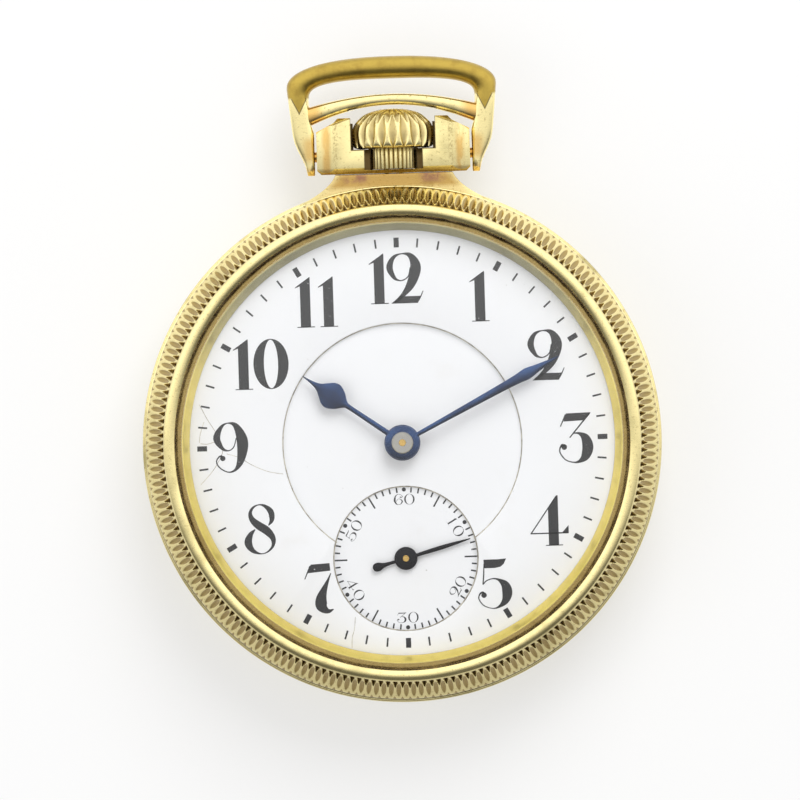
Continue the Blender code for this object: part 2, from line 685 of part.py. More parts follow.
# Pendant, bow and crown
def pendant():
    half = PENDANT_WIDTH / 2
    foot = NECK_TOP + SEAM
    top = foot + PENDANT_HEIGHT
    ridge = half - SIDE_FLUTE_WIDTH
    side = [
        (half - CASE_EDGE, foot),
        (half, foot + CASE_EDGE),
        (half, top - EAR_SHOULDER),
        (ridge, top - EAR_SHOULDER / 3),
        (ridge - CASE_EDGE, top),
        (CROWN_CAVITY / 2, top),
        (CROWN_CAVITY / 2, foot + CROWN_SEAT),
        (SLEEVE_SLOT / 2, foot + CROWN_SEAT),
        (SLEEVE_SLOT / 2, foot + PENDANT_BASE),
    ]
    outline = side + [(-x, y) for x, y in reversed(side)]
    thick = PENDANT_THICKNESS / 2
    body = piece("pendant", stack([(STEM_Z - thick, STEM_Z + thick, [outline])]), GOLD)

    # The bow swings past the ears, so they stay inside the turned form that its bar sweeps
    reach = [half * i / BAR_STEPS for i in range(-BAR_STEPS, BAR_STEPS + 1)]
    sweep = [(CROSSBAR_RADIUS - SWING_GAP - CROSSBAR_ARCH * (x / half) ** 2, x) for x in reach]
    ends = [(0.0, -PENDANT_WIDTH), (sweep[0][0], -PENDANT_WIDTH)]
    ends_after = [(sweep[-1][0], PENDANT_WIDTH), (0.0, PENDANT_WIDTH)]
    knuckle = lathe(ends + sweep + ends_after, 2 * ROUND_SEGMENTS, closed=False)
    combine(body, piece("knuckle", knuckle, GOLD, matrix=ALONG_BOW_PIN), "INTERSECT")

    # Bevels along the lower edges of both faces
    narrow = thick - PENDANT_BEVEL
    wedge = [(narrow, foot - SEAM), (thick, foot + PENDANT_BEVEL), (thick, top), (-thick, top)]
    wedge += [(-thick, foot + PENDANT_BEVEL), (-narrow, foot - SEAM)]
    bar = stack([(-PENDANT_WIDTH, PENDANT_WIDTH, [wedge])])
    combine(body, piece("lower_bevels", bar, GOLD, matrix=ACROSS_STEM), "INTERSECT")
    bore = rod(foot - PENDANT_BASE, foot + 2 * PENDANT_BASE, STEM_BORE)
    combine(body, piece("pendant_bore", bore, GOLD, matrix=ALONG_STEM))

    wide = SLEEVE_POCKET_WIDTH / 2
    low, high = foot + PENDANT_BASE, foot + CROWN_SEAT + PENDANT_BASE
    pocket = [(-wide, low), (wide, low), (wide, high), (-wide, high)]
    depth = thick - SLEEVE_POCKET_DEPTH
    radius = (SIDE_FLUTE_WIDTH**2 / 4 + SIDE_FLUTE_DEPTH**2) / (2 * SIDE_FLUTE_DEPTH)
    for side_sign in (-1, 1):
        seat = rod(half - BOW_PIN_LENGTH / 2, PENDANT_WIDTH, BOW_PIN_RADIUS + PRESS, 12)
        seat.transform(Matrix.Rotation(math.pi * (side_sign < 0), 4, "Y"))
        name = "pin_seat_left" if side_sign < 0 else "pin_seat_right"
        combine(body, piece(name, seat, GOLD, matrix=ALONG_BOW_PIN))
        levels = sorted((STEM_Z + side_sign * depth, STEM_Z + side_sign * PENDANT_WIDTH))
        name = "pocket_back" if side_sign < 0 else "pocket_front"
        combine(body, piece(name, stack([(*levels, [pocket])]), GOLD))
        for face_sign in (-1, 1):
            groove = rod(NECK_TOP - PENDANT_HEIGHT, NECK_TOP + 2 * PENDANT_HEIGHT, radius, 20)
            away = side_sign * (half - SIDE_FLUTE_WIDTH / 2)
            place = Matrix.Translation((away, 0, face_sign * (thick - SIDE_FLUTE_DEPTH + radius)))
            name = f"side_flute_{side_sign}_{face_sign}"
            combine(body, piece(name, groove, GOLD, matrix=place @ ALONG_STEM))


def pendant_sleeve():
    start = NECK_TOP + SEAM + PENDANT_BASE + SEAM
    end = NECK_TOP + SEAM + CROWN_SEAT - SEAM
    points = 2 * SLEEVE_FLUTES
    star = [
        polar(SLEEVE_RADIUS - SLEEVE_FLUTE_DEPTH * (i % 2), 360.0 * i / points) for i in range(points)
    ]
    tube = stack([(start, end, [star, circle(STEM_BORE, count=16)])])
    piece("pendant_sleeve", tube, GOLD, matrix=ALONG_STEM)


def bow():
    half = BOW_WIDTH / 2
    inner = PENDANT_WIDTH / 2 + LEG_GAP
    top = PIVOT_Y + BOW_HEIGHT

    def rounded(width, crest, height, squareness):
        """Upper half of a superellipse from right to left."""
        points = []
        for i in range(2 * BOW_STEPS + 1):
            angle = math.pi * i / (2 * BOW_STEPS)
            power = 2 / squareness
            x = math.copysign(abs(math.cos(angle)) ** power, math.cos(angle)) * width
            points.append((x, crest - height + abs(math.sin(angle)) ** power * height))
        return points

    def arch(level, drop, width):
        """A bar edge that is this level in the middle and falls to its ends, from left to right."""
        shares = [i / BAR_STEPS - 1 for i in range(2 * BAR_STEPS + 1)]
        return [(width * share, PIVOT_Y + level - drop * share**2) for share in shares]

    foot = PIVOT_Y - LEG_DROP
    right_leg = [(inner, foot), (inner + LEG_FOOT, foot)]
    right_leg += [(inner + 2 * LEG_FOOT - LEG_GAP, PIVOT_Y), (half - LEG_TAPER, PIVOT_Y + LEG_KNEE)]
    left_leg = [(-x, y) for x, y in reversed(right_leg)]
    underside = arch(CROSSBAR_RADIUS, CROSSBAR_ARCH, inner)
    outline = right_leg + rounded(half, top, BOW_HEAD, BOW_SQUARENESS) + left_leg + underside
    slot_half = half - BOW_BAR
    slot = rounded(slot_half, top - BOW_BAR, BOW_SLOT_HEAD, BOW_SLOT_SQUARENESS)
    slot += arch(CROSSBAR_RADIUS + CROSSBAR_HEIGHT, CROSSBAR_TOP_ARCH, slot_half)
    low, high = STEM_Z - BOW_THICKNESS / 2, STEM_Z + BOW_THICKNESS / 2
    origin = (0, PIVOT_Y, STEM_Z)
    body = piece("bow", stack([(low, high, [outline, slot])]), GOLD, origin)
    bevel = body.modifiers.new("edge", "BEVEL")
    bevel.width = BOW_EDGE * MM
    bevel.limit_method = "ANGLE"
    bevel.angle_limit = math.radians(60)
    for sign, side in ((-1, "left"), (1, "right")):
        hole = rod(0, sign * BOW_WIDTH, BOW_PIN_RADIUS + RUNNING, 12)
        combine(body, piece(f"bow_hole_{side}", hole, GOLD, matrix=ALONG_BOW_PIN))
        start = PENDANT_WIDTH / 2 - BOW_PIN_LENGTH / 2 + SEAM
        pin = rod(sign * start, sign * (start + BOW_PIN_LENGTH - SEAM), BOW_PIN_RADIUS, 12)
        piece(f"bow_pin_{side}", pin, STEEL, origin, ALONG_BOW_PIN)


def crown():
    base = NECK_TOP + CROWN_SEAT + 2 * SEAM
    hole = STEM_RADIUS + PRESS
    shape = ((0.88, 0.0), (0.97, 0.06), (1.0, 0.2), (1.0, 0.42))
    shape += ((0.95, 0.6), (0.84, 0.74), (0.66, 0.87), (0.36, 0.97))
    profile = [(0.0, base + STEM_GRIP), (hole, base + STEM_GRIP), (hole, base)]
    profile += [(CROWN_RADIUS * r, base + CROWN_HEIGHT * h) for r, h in shape]
    profile.append((0.0, base + CROWN_HEIGHT))
    bm = lathe(profile, 2 * CROWN_FLUTES, closed=False)
    flute(bm, CROWN_FLUTES, lambda _: CROWN_FLUTE_DEPTH, hole + PRESS)
    piece("crown", bm, GOLD, (0, base, STEM_Z), ALONG_STEM)


def stem():
    tip = WINDING_PINION_Y - CLUTCH_LENGTH - STEM_TIP
    shoulder = PLATE_RADIUS
    end = NECK_TOP + CROWN_SEAT + STEM_GRIP
    square = circle(STEM_SQUARE, count=12)
    round_part = circle(STEM_RADIUS, count=12)
    bm = stack([(tip, shoulder, [square]), (shoulder, end, [round_part])])
    piece("stem", bm, STEEL, (0, shoulder, STEM_Z), ALONG_STEM)


def winding_work():
    bore = circle(STEM_SQUARE + PRESS, count=12)
    leaves = gear_loop(WINDING_PINION_TEETH, WINDING_MODULE, CENTER, math.pi / 2)
    end = WINDING_PINION_Y + WINDING_PINION_LENGTH
    pinion = stack([(WINDING_PINION_Y, end, [leaves, bore])])
    piece("winding_pinion", pinion, STEEL, (0, end, STEM_Z), ALONG_STEM)
    top = WINDING_PINION_Y - SEAM
    body = circle(CLUTCH_RADIUS, count=16)
    clutch = stack([(top - CLUTCH_LENGTH, top, [body, bore])])
    piece("clutch", clutch, STEEL, (0, top, STEM_Z), ALONG_STEM)


# Frame of the movement
def main_plate():
    outer = circle(PLATE_RADIUS, count=PLATE_SEGMENTS)
    holes = [circle(ARBOR_RADIUS + 2 * RUNNING, place) for place in (CENTER, FOURTH)]
    pivots = (THIRD, ESCAPE, PALLET, BALANCE)
    holes += [circle(PIVOT_RADIUS + RUNNING, place, PIVOT_SEGMENTS) for place in pivots]
    holes.append(circle(STEM_SQUARE + RUNNING, BARREL))
    holes += [
        circle(DIAL_FOOT_RADIUS + RUNNING, polar(PLATE_RADIUS - DIAL_FOOT_INSET, a), 8)
        for a in DIAL_FEET
    ]
    holes += [circle(SCREW_RADIUS + PRESS, polar(PLATE_RADIUS - PILLAR_RADIUS, a), 8) for a in CASE_SCREWS]
    window = WINDING_MODULE * (WINDING_PINION_TEETH / 2 + ADDENDUM) + WINDOW_GAP
    low = WINDING_PINION_Y - WINDOW_GAP
    high = WINDING_PINION_Y + WINDING_PINION_LENGTH + WINDOW_GAP
    holes.append([(-window, low), (window, low), (window, high), (-window, high)])
    posts = []
    for angle in (*BARREL_PILLARS, *TRAIN_PILLARS, COCK_PILLAR):
        posts.append(circle(PILLAR_RADIUS, pillar(angle), ROUND_SEGMENTS))
        posts.append(circle(SCREW_RADIUS + PRESS, pillar(angle), PIVOT_SEGMENTS))
    stud = [circle(ARBOR_RADIUS, MINUTE_WHEEL)]
    bm = stack(
        [
            (BRIDGE_INNER + SEAM, PLATE_Z, posts),
            (PLATE_Z, PLATE_TOP, [outer, *holes]),
            (PLATE_TOP, CENTER_DISC_Z - SEAM, stud),
        ]
    )
    piece("main_plate", bm, BRASS)


def screw(name, place, head_z, head_radius, shaft_top):
    """A cheese-head screw that points to the dial, its head on the back side, with a slot."""
    head = circle(head_radius, place, ROUND_SEGMENTS)
    shaft = circle(SCREW_RADIUS, place, PIVOT_SEGMENTS)
    width, reach = head_radius * SCREW_SLOT_SHARE, head_radius * 2
    body = piece(
        name,
        stack([(head_z - SCREW_HEAD_HEIGHT, head_z, [head]), (head_z, shaft_top, [shaft])]),
        STEEL,
        (*place, head_z),
    )
    x, y = place
    slot = [(x - reach, y - width), (x + reach, y - width), (x + reach, y + width), (x - reach, y + width)]
    low = head_z - 2 * SCREW_HEAD_HEIGHT
    cut = stack([(low, head_z - SCREW_HEAD_HEIGHT + SCREW_SLOT_DEPTH, [slot])])
    combine(body, piece(f"{name}_slot", cut, STEEL))


def bridge_plate(name, outline, pillars, pivots):
    holes = [circle(SCREW_RADIUS + RUNNING, pillar(angle), 8) for angle in pillars]
    holes += [circle(radius + RUNNING, place) for place, radius in pivots]
    piece(name, stack([(BRIDGE_OUTER, BRIDGE_INNER, [outline, *holes])]), NICKEL)
    for number, angle in enumerate(pillars, 1):
        top = PLATE_Z - SEAM
        screw(f"{name}_screw_{number}", pillar(angle), BRIDGE_OUTER - SEAM, SCREW_HEAD_RADIUS, top)


def bridges():
    reach = PLATE_RADIUS - BRIDGE_MARGIN
    notch = WINDING_MODULE * (WINDING_PINION_TEETH / 2 + ADDENDUM) + WINDOW_GAP
    notch_floor = WINDING_PINION_Y - BRIDGE_SEAM / 2
    notch_angle = math.degrees(math.acos(notch / reach))
    barrel_side = arc(CENTER, reach, 0.0, notch_angle, 12)
    barrel_side += [(notch, notch_floor), (-notch, notch_floor)]
    barrel_side += arc(CENTER, reach, 180.0 - notch_angle, BARREL_BRIDGE_END, 5)
    barrel_side += [(-HUB_RADIUS * 3, HUB_RADIUS * 3), (0.0, HUB_RADIUS * 2), (HUB_RADIUS * 4, 0.0)]
    hub = WINDING_HUB_RADIUS
    bridge_plate("barrel_bridge", barrel_side, BARREL_PILLARS, [(BARREL, hub), (CROWN_WHEEL, hub)])

    gap = BRIDGE_SEAM
    clear = BALANCE_RADIUS + 2 * gap
    train_side = arc(CENTER, reach, TRAIN_BRIDGE_START, TRAIN_BRIDGE_END, 20)
    train_side += [(HUB_RADIUS * 4, -gap), (0.0, HUB_RADIUS * 2 - gap), (-HUB_RADIUS * 2.4, HUB_RADIUS)]
    train_side += arc(BALANCE, clear, *BALANCE_OPENING, 10)
    pivots = [(CENTER, ARBOR_RADIUS), (THIRD, PIVOT_RADIUS), (FOURTH, PIVOT_RADIUS), (ESCAPE, PIVOT_RADIUS)]
    bridge_plate("train_bridge", train_side, TRAIN_PILLARS, pivots)

    cock = hull_of_circles(BALANCE, HUB_RADIUS * 1.6, pillar(COCK_PILLAR), PILLAR_RADIUS * 1.5)
    bridge_plate("balance_cock", cock, (COCK_PILLAR,), [(BALANCE, PIVOT_RADIUS)])
    for number, angle in enumerate(CASE_SCREWS, 1):
        seat = PLATE_Z - SEAM - LEDGE_THICKNESS - SEAM
        place = polar(PLATE_RADIUS - PILLAR_RADIUS, angle)
        screw(f"case_screw_{number}", place, seat, PILLAR_RADIUS, PLATE_TOP - SEAM)


def pallet_cock():
    low = ROLLER_Z - 2 * SEAM
    high = low + WHEEL_THICKNESS
    aside = Vector((-TO_BALANCE.y, TO_BALANCE.x))
    foot = tuple(Vector(PALLET) + aside * PALLET_COCK_REACH)
    strap = hull_of_circles(PALLET, PALLET_COCK_TIP, foot, HUB_RADIUS)
    hole = circle(PIVOT_RADIUS + RUNNING, PALLET, 8)
    post = circle(PALLET_POST_RADIUS, foot, 12)
    piece("pallet_cock", stack([(low, high, [strap, hole]), (high, PLATE_Z - SEAM, [post])]), NICKEL)


# Barrel and winding wheels
def barrel():
    wall = BARREL_MODULE * (BARREL_TEETH / 2 - DEDENDUM) - PRESS
    phase = mesh_phase(CENTER, CENTER_PINION_LEAVES, 0.0, BARREL, BARREL_TEETH)
    teeth = gear_loop(BARREL_TEETH, BARREL_MODULE, BARREL, phase)
    outer = circle(wall, BARREL, CASE_SEGMENTS)
    inside = circle(wall - BARREL_WALL, BARREL, CASE_SEGMENTS)
    floor = BARREL_TOP - BARREL_FLOOR
    pivot = circle(STEM_SQUARE + RUNNING, BARREL)
    origin = (*BARREL, BARREL_Z)
    bm = stack([(BARREL_Z, floor, [outer, inside]), (floor, BARREL_TOP, [teeth, pivot])])
    piece("barrel", bm, BRASS, origin)
    hub = WINDING_HUB_RADIUS
    cover_top = BARREL_Z + WHEEL_THICKNESS
    lid = [circle(wall - BARREL_WALL - PRESS, BARREL, CASE_SEGMENTS), circle(hub + RUNNING, BARREL)]
    piece("barrel_cover", stack([(BARREL_Z, cover_top, lid)]), BRASS, origin)

    spring_low, spring_high = cover_top + 2 * SEAM, floor - 2 * SEAM
    core = BARREL_CORE_RADIUS
    reach = wall - BARREL_WALL - MAINSPRING_STRIP
    strip, gap = spiral_strip(BARREL, core + MAINSPRING_STRIP, reach, MAINSPRING_TURNS, MAINSPRING_STRIP)
    print(f"mainspring: least gap between turns {gap:.2f} mm")
    piece("mainspring", stack([(spring_low, spring_high, [strip])]), STEEL, origin)

    ratchet_low = WINDING_WHEEL_Z - SEAM
    bm = stack(
        [
            (ratchet_low, spring_low - SEAM, [circle(hub, BARREL, 12)]),
            (spring_low - SEAM, spring_high + SEAM, [circle(core, BARREL, 16)]),
            (spring_high + SEAM, PLATE_TOP - 4 * SEAM, [circle(STEM_SQUARE, BARREL)]),
        ]
    )
    piece("barrel_arbor", bm, STEEL, origin)


def winding_wheels():
    low, high = WINDING_WHEEL_Z, WINDING_WHEEL_Z + WINDING_WHEEL_THICKNESS
    hub = WINDING_HUB_RADIUS
    # A leaf of the winding pinion hangs at its lowest point, so a gap of the rim stands there
    crown_phase = math.pi / 2 + math.pi / CROWN_WHEEL_TEETH
    rim = gear_loop(CROWN_WHEEL_TEETH, WINDING_MODULE, CROWN_WHEEL, crown_phase)
    wheel = stack([(low, high, [rim, circle(hub + RUNNING, CROWN_WHEEL, 12)])])
    piece("crown_wheel", wheel, STEEL, (*CROWN_WHEEL, low))
    head = circle(BARREL_CORE_RADIUS + BRIDGE_SEAM / 2, CROWN_WHEEL, 16)
    shaft = circle(hub, CROWN_WHEEL, 12)
    bm = stack([(low - SEAM - SCREW_HEAD_HEIGHT, low - SEAM, [head]), (low - SEAM, BRIDGE_INNER, [shaft])])
    piece("crown_wheel_screw", bm, STEEL, (*CROWN_WHEEL, low))
    phase = mesh_phase(CROWN_WHEEL, CROWN_WHEEL_TEETH, crown_phase, BARREL, RATCHET_TEETH)
    teeth = gear_loop(RATCHET_TEETH, WINDING_MODULE, BARREL, phase)
    wheel = stack([(low, high, [teeth, circle(hub + PRESS, BARREL, 12)])])
    piece("ratchet_wheel", wheel, STEEL, (*BARREL, low))

    tip = WINDING_MODULE * (RATCHET_TEETH / 2 + ADDENDUM)
    pivot = polar(tip + CLICK_DISTANCE, CLICK_DIRECTION, BARREL)
    nose = polar(tip + CLICK_NOSE_GAP, CLICK_NOSE_DIRECTION, BARREL)
    arm = hull_of_circles(pivot, CLICK_RADIUS, nose, CLICK_NOSE_RADIUS)
    hole = circle(SCREW_RADIUS + RUNNING, pivot)
    piece("click", stack([(low, high, [arm, hole])]), STEEL, (*pivot, low))
    head = circle(CLICK_SCREW_RADIUS, pivot, 12)
    shaft = circle(SCREW_RADIUS, pivot)
    top = BRIDGE_OUTER - SEAM
    bm = stack([(low - SEAM - SCREW_HEAD_HEIGHT, low - SEAM, [head]), (low - SEAM, top, [shaft])])
    piece("click_screw", bm, STEEL, (*pivot, low))
    bend = polar(tip + CLICK_SPRING_DISTANCE, CLICK_SPRING_DIRECTION, BARREL)
    start, end = CLICK_SPRING_ENDS
    strip = arc(bend, CLICK_SPRING_RADIUS, start, end, 12)
    strip += arc(bend, CLICK_SPRING_RADIUS - CLICK_SPRING_STRIP, end, start, 12)
    piece("click_spring", stack([(low + SEAM, high - SEAM, [strip])]), STEEL)


# Going train, each wheel with its pinion and arbor in one piece
def pivoted(name, place, levels, finish=BRASS):
    """A wheel on its arbor. levels are (top, loops) going up from the foot of the lower pivot."""
    bottom = BRIDGE_OUTER + 2 * SEAM
    layers = []
    for top, loops in levels:
        layers.append((bottom, top, loops))
        bottom = top
    piece(name, stack(layers), finish, (*place, BRIDGE_INNER))


def train():
    shoulder, plate = BRIDGE_INNER + SEAM, PLATE_Z - SEAM
    pivot_end = PLATE_TOP - 6 * SEAM

    center_phase = 0.0
    rim = CENTER_MODULE * (CENTER_TEETH / 2 - DEDENDUM) - RIM_WIDTH
    wheel = [gear_loop(CENTER_TEETH, CENTER_MODULE, CENTER, center_phase)]
    wheel += crossings(CENTER, rim, WHEEL_ARMS)
    leaves = [gear_loop(CENTER_PINION_LEAVES, BARREL_MODULE, CENTER)]
    thick, thin = circle(ARBOR_RADIUS + PRESS), circle(ARBOR_RADIUS)
    pivoted(
        "center_wheel",
        CENTER,
        [
            (CENTER_WHEEL_Z, [thick]),
            (CENTER_WHEEL_Z + WHEEL_THICKNESS, wheel),
            (BARREL_TOP - BARREL_FLOOR - 2 * SEAM, [thick]),
            (plate, leaves),
            (MINUTE_HAND_Z + 2 * HAND_THICKNESS, [thin]),
        ],
    )

    third_phase = mesh_phase(CENTER, CENTER_TEETH, center_phase, THIRD, THIRD_PINION_LEAVES)
    rim = THIRD_MODULE * (THIRD_TEETH / 2 - DEDENDUM) - RIM_WIDTH
    wheel = [gear_loop(THIRD_TEETH, THIRD_MODULE, THIRD), *crossings(THIRD, rim, WHEEL_ARMS)]
    leaves = [gear_loop(THIRD_PINION_LEAVES, CENTER_MODULE, THIRD, third_phase)]
    pivoted(
        "third_wheel",
        THIRD,
        [
            (shoulder, [circle(PIVOT_RADIUS, THIRD, PIVOT_SEGMENTS)]),
            (THIRD_WHEEL_Z, leaves),
            (THIRD_WHEEL_Z + WHEEL_THICKNESS, wheel),
            (plate, [circle(ARBOR_RADIUS, THIRD)]),
            (pivot_end, [circle(PIVOT_RADIUS, THIRD, PIVOT_SEGMENTS)]),
        ],
    )

    fourth_phase = mesh_phase(THIRD, THIRD_TEETH, 0.0, FOURTH, FOURTH_PINION_LEAVES)
    rim = FOURTH_MODULE * (FOURTH_TEETH / 2 - DEDENDUM) - RIM_WIDTH
    wheel = [gear_loop(FOURTH_TEETH, FOURTH_MODULE, FOURTH), *crossings(FOURTH, rim, WHEEL_ARMS)]
    leaves = [gear_loop(FOURTH_PINION_LEAVES, THIRD_MODULE, FOURTH, fourth_phase)]
    pivoted(
        "fourth_wheel",
        FOURTH,
        [
            (shoulder, [circle(PIVOT_RADIUS, FOURTH, PIVOT_SEGMENTS)]),
            (THIRD_WHEEL_Z - 3 * SEAM, [circle(ARBOR_RADIUS, FOURTH)]),
            (THIRD_WHEEL_Z + WHEEL_THICKNESS + 3 * SEAM, leaves),
            (FOURTH_WHEEL_Z, [circle(ARBOR_RADIUS, FOURTH)]),
            (FOURTH_WHEEL_Z + WHEEL_THICKNESS, wheel),
            (plate, [circle(ARBOR_RADIUS, FOURTH)]),
            (SECONDS_HAND_Z + HAND_THICKNESS + SEAM, [circle(PIVOT_RADIUS, FOURTH, PIVOT_SEGMENTS)]),
        ],
    )

    escape_phase = mesh_phase(FOURTH, FOURTH_TEETH, 0.0, ESCAPE, ESCAPE_PINION_LEAVES)
    wheel = [escape_loop(), *crossings(ESCAPE, ESCAPE_RADIUS * ESCAPE_RIM_SHARE, ESCAPE_ARMS)]
    leaves = [gear_loop(ESCAPE_PINION_LEAVES, FOURTH_MODULE, ESCAPE, escape_phase)]
    slim = circle(PIVOT_RADIUS + RUNNING, ESCAPE)
    pivoted(
        "escape_wheel",
        ESCAPE,
        [
            (shoulder, [circle(FINE_PIVOT_RADIUS, ESCAPE, PIVOT_SEGMENTS)]),
            (ESCAPE_WHEEL_Z, [slim]),
            (ESCAPE_WHEEL_Z + WHEEL_THICKNESS, wheel),
            (plate, leaves),
            (pivot_end, [circle(FINE_PIVOT_RADIUS, ESCAPE, PIVOT_SEGMENTS)]),
        ],
        STEEL,
    )


def escape_loop():
    """Fifteen raked club teeth."""
    pitch = 360.0 / ESCAPE_TEETH
    shape = ((0.76, 0.0), (0.9, 0.16), (1.0, 0.3), (0.97, 0.46), (0.84, 0.36), (0.76, 0.4))
    return [
        polar(ESCAPE_RADIUS * share, pitch * (i + turn), ESCAPE)
        for i in range(ESCAPE_TEETH)
        for share, turn in shape
    ]


def pallet_fork():
    lean = math.radians(PALLET_LEAN)
    stone = Vector((PALLET_DISTANCE - ESCAPE_RADIUS * math.cos(lean), ESCAPE_RADIUS * math.sin(lean))) / FIT
    away = Vector((-math.cos(lean), math.sin(lean))) * PALLET_OPENING
    back, aside = -(stone + away).x, (stone + away).y
    side = [
        (FORK_REACH, 0.2),
        (FORK_REACH, 0.55),
        (FORK_REACH - 0.5, 0.6),
        (FORK_REACH - 1.1, 0.25),
        (0.6, 0.3),
        (0.35, 0.75),
        (back + 0.4, aside + 0.35),
        (back, aside),
        (-0.3, 0.45),
    ]
    outline = side + [(x, -y) for x, y in reversed(side)]
    outline += [(FORK_REACH - 0.6, -0.2), (FORK_REACH - 0.6, 0.2)]
    turn = Matrix.Rotation(math.atan2(TO_BALANCE.y, TO_BALANCE.x), 2)
    outline = [tuple(turn @ Vector(p) * FIT + Vector(PALLET)) for p in outline]
    bm = stack(
        [
            (ROLLER_Z - SEAM, ESCAPE_WHEEL_Z, [circle(FINE_PIVOT_RADIUS, PALLET, 8)]),
            (ESCAPE_WHEEL_Z, ESCAPE_WHEEL_Z + WHEEL_THICKNESS, [outline]),
            (ESCAPE_WHEEL_Z + WHEEL_THICKNESS, PLATE_Z - SEAM, [circle(PIVOT_RADIUS + RUNNING, PALLET)]),
            (PLATE_Z - SEAM, PLATE_TOP - 6 * SEAM, [circle(FINE_PIVOT_RADIUS, PALLET, 8)]),
        ]
    )
    piece("pallet_fork", bm, STEEL, (*PALLET, ESCAPE_WHEEL_Z))


def balance():
    # Timing screws stand out from the rim as pairs of corners
    low = BALANCE_RIM_SHARE
    step = 360.0 / BALANCE_SCREWS
    rim = []
    for i in range(BALANCE_SCREWS):
        for share, turn in ((low, -0.34), (low, -0.14), (1.0, -0.14), (1.0, 0.14), (low, 0.14), (low, 0.34)):
            rim.append(polar(BALANCE_RADIUS * share, step * (i + turn), BALANCE))
    inside = BALANCE_RADIUS * BALANCE_RIM_SHARE - BALANCE_RIM
    openings = crossings(BALANCE, inside, 2, BALANCE_ARM_ANGLE)
    top = BALANCE_Z + BALANCE_THICKNESS
    wheel = stack([(BALANCE_Z, top, [rim, *openings, circle(STAFF_COLLAR_RADIUS + PRESS, BALANCE)])])
    piece("balance_wheel", wheel, BRASS, (*BALANCE, BALANCE_Z))

    spring_low, spring_high = BRIDGE_INNER + 3 * SEAM, BALANCE_Z - 3 * SEAM
    inner = SPRING_COLLET_RADIUS + PRESS + HAIRSPRING_STRIP / 2
    strip, gap = spiral_strip(BALANCE, inner, HAIRSPRING_RADIUS, HAIRSPRING_TURNS, HAIRSPRING_STRIP)
    print(f"hairspring: least gap between turns {gap:.2f} mm")
    piece("hairspring", stack([(spring_low, spring_high, [strip])]), BLUED, (*BALANCE, BALANCE_Z))

    slim = circle(PIVOT_RADIUS + RUNNING, BALANCE)
    pin = circle(FINE_PIVOT_RADIUS, tuple(Vector(BALANCE) - TO_BALANCE * IMPULSE_PIN_RADIUS), 8)
    pivoted(
        "balance_staff",
        BALANCE,
        [
            (BRIDGE_INNER + SEAM, [circle(FINE_PIVOT_RADIUS, BALANCE, PIVOT_SEGMENTS)]),
            (BALANCE_Z - 2 * SEAM, [circle(SPRING_COLLET_RADIUS, BALANCE, 14)]),
            (top + SEAM, [circle(STAFF_COLLAR_RADIUS, BALANCE)]),
            (ROLLER_Z, [slim]),
            (ROLLER_Z + ROLLER_THICKNESS, [circle(ROLLER_RADIUS, BALANCE, 20)]),
            (ESCAPE_WHEEL_Z - SEAM, [slim, pin]),
            (PLATE_Z - SEAM, [slim]),
            (PLATE_TOP - 6 * SEAM, [circle(FINE_PIVOT_RADIUS, BALANCE, PIVOT_SEGMENTS)]),
        ],
        STEEL,
    )

    low, high = BRIDGE_OUTER - SEAM - WHEEL_THICKNESS, BRIDGE_OUTER - SEAM
    jewel_radius = CAP_JEWEL_RADIUS
    piece("balance_jewel", stack([(low, high, [circle(jewel_radius, BALANCE, 16)])]), RUBY)
    pointer = polar(REGULATOR_LENGTH, REGULATOR_DIRECTION, BALANCE)
    lever = hull_of_circles(BALANCE, REGULATOR_RADIUS, pointer, ARM_WIDTH / 3, 12)
    ring = circle(jewel_radius + RUNNING, BALANCE, 16)
    piece("regulator", stack([(low, high, [lever, ring])]), STEEL, (*BALANCE, low))


# Motion work, dial and hands
def motion_work():
    bore = circle(ARBOR_RADIUS + PRESS)
    leaves = gear_loop(CANNON_LEAVES, CANNON_MODULE, CENTER)
    pipe = circle(CANNON_RADIUS, count=14)
    top = MINUTE_HAND_Z + HAND_THICKNESS
    bm = stack(
        [
            (PLATE_TOP + SEAM, HOUR_WHEEL_Z - SEAM, [leaves, bore]),
            (HOUR_WHEEL_Z - SEAM, top, [pipe, bore]),
        ]
    )
    piece("cannon_pinion", bm, STEEL)

    phase = mesh_phase(CENTER, CANNON_LEAVES, 0.0, MINUTE_WHEEL, MINUTE_WHEEL_TEETH)
    teeth = gear_loop(MINUTE_WHEEL_TEETH, CANNON_MODULE, MINUTE_WHEEL, phase)
    pinion = gear_loop(MINUTE_PINION_LEAVES, HOUR_MODULE, MINUTE_WHEEL)
    hole = circle(ARBOR_RADIUS + RUNNING, MINUTE_WHEEL)
    step = MINUTE_WHEEL_Z + WHEEL_THICKNESS
    bm = stack(
        [
            (MINUTE_WHEEL_Z, step, [teeth, hole]),
            (step, HOUR_WHEEL_Z + WHEEL_THICKNESS + SEAM, [pinion, hole]),
        ]
    )
    piece("minute_wheel", bm, BRASS, (*MINUTE_WHEEL, MINUTE_WHEEL_Z))

    phase = mesh_phase(MINUTE_WHEEL, MINUTE_PINION_LEAVES, 0.0, CENTER, HOUR_WHEEL_TEETH)
    teeth = gear_loop(HOUR_WHEEL_TEETH, HOUR_MODULE, CENTER, phase)
    bore = circle(CANNON_RADIUS + RUNNING, count=14)
    pipe = circle(HOUR_PIPE_RADIUS, count=16)
    step = HOUR_WHEEL_Z + WHEEL_THICKNESS
    bm = stack([(HOUR_WHEEL_Z, step, [teeth, bore]), (step, HOUR_HAND_Z + HAND_THICKNESS, [pipe, bore])])
    piece("hour_wheel", bm, BRASS)


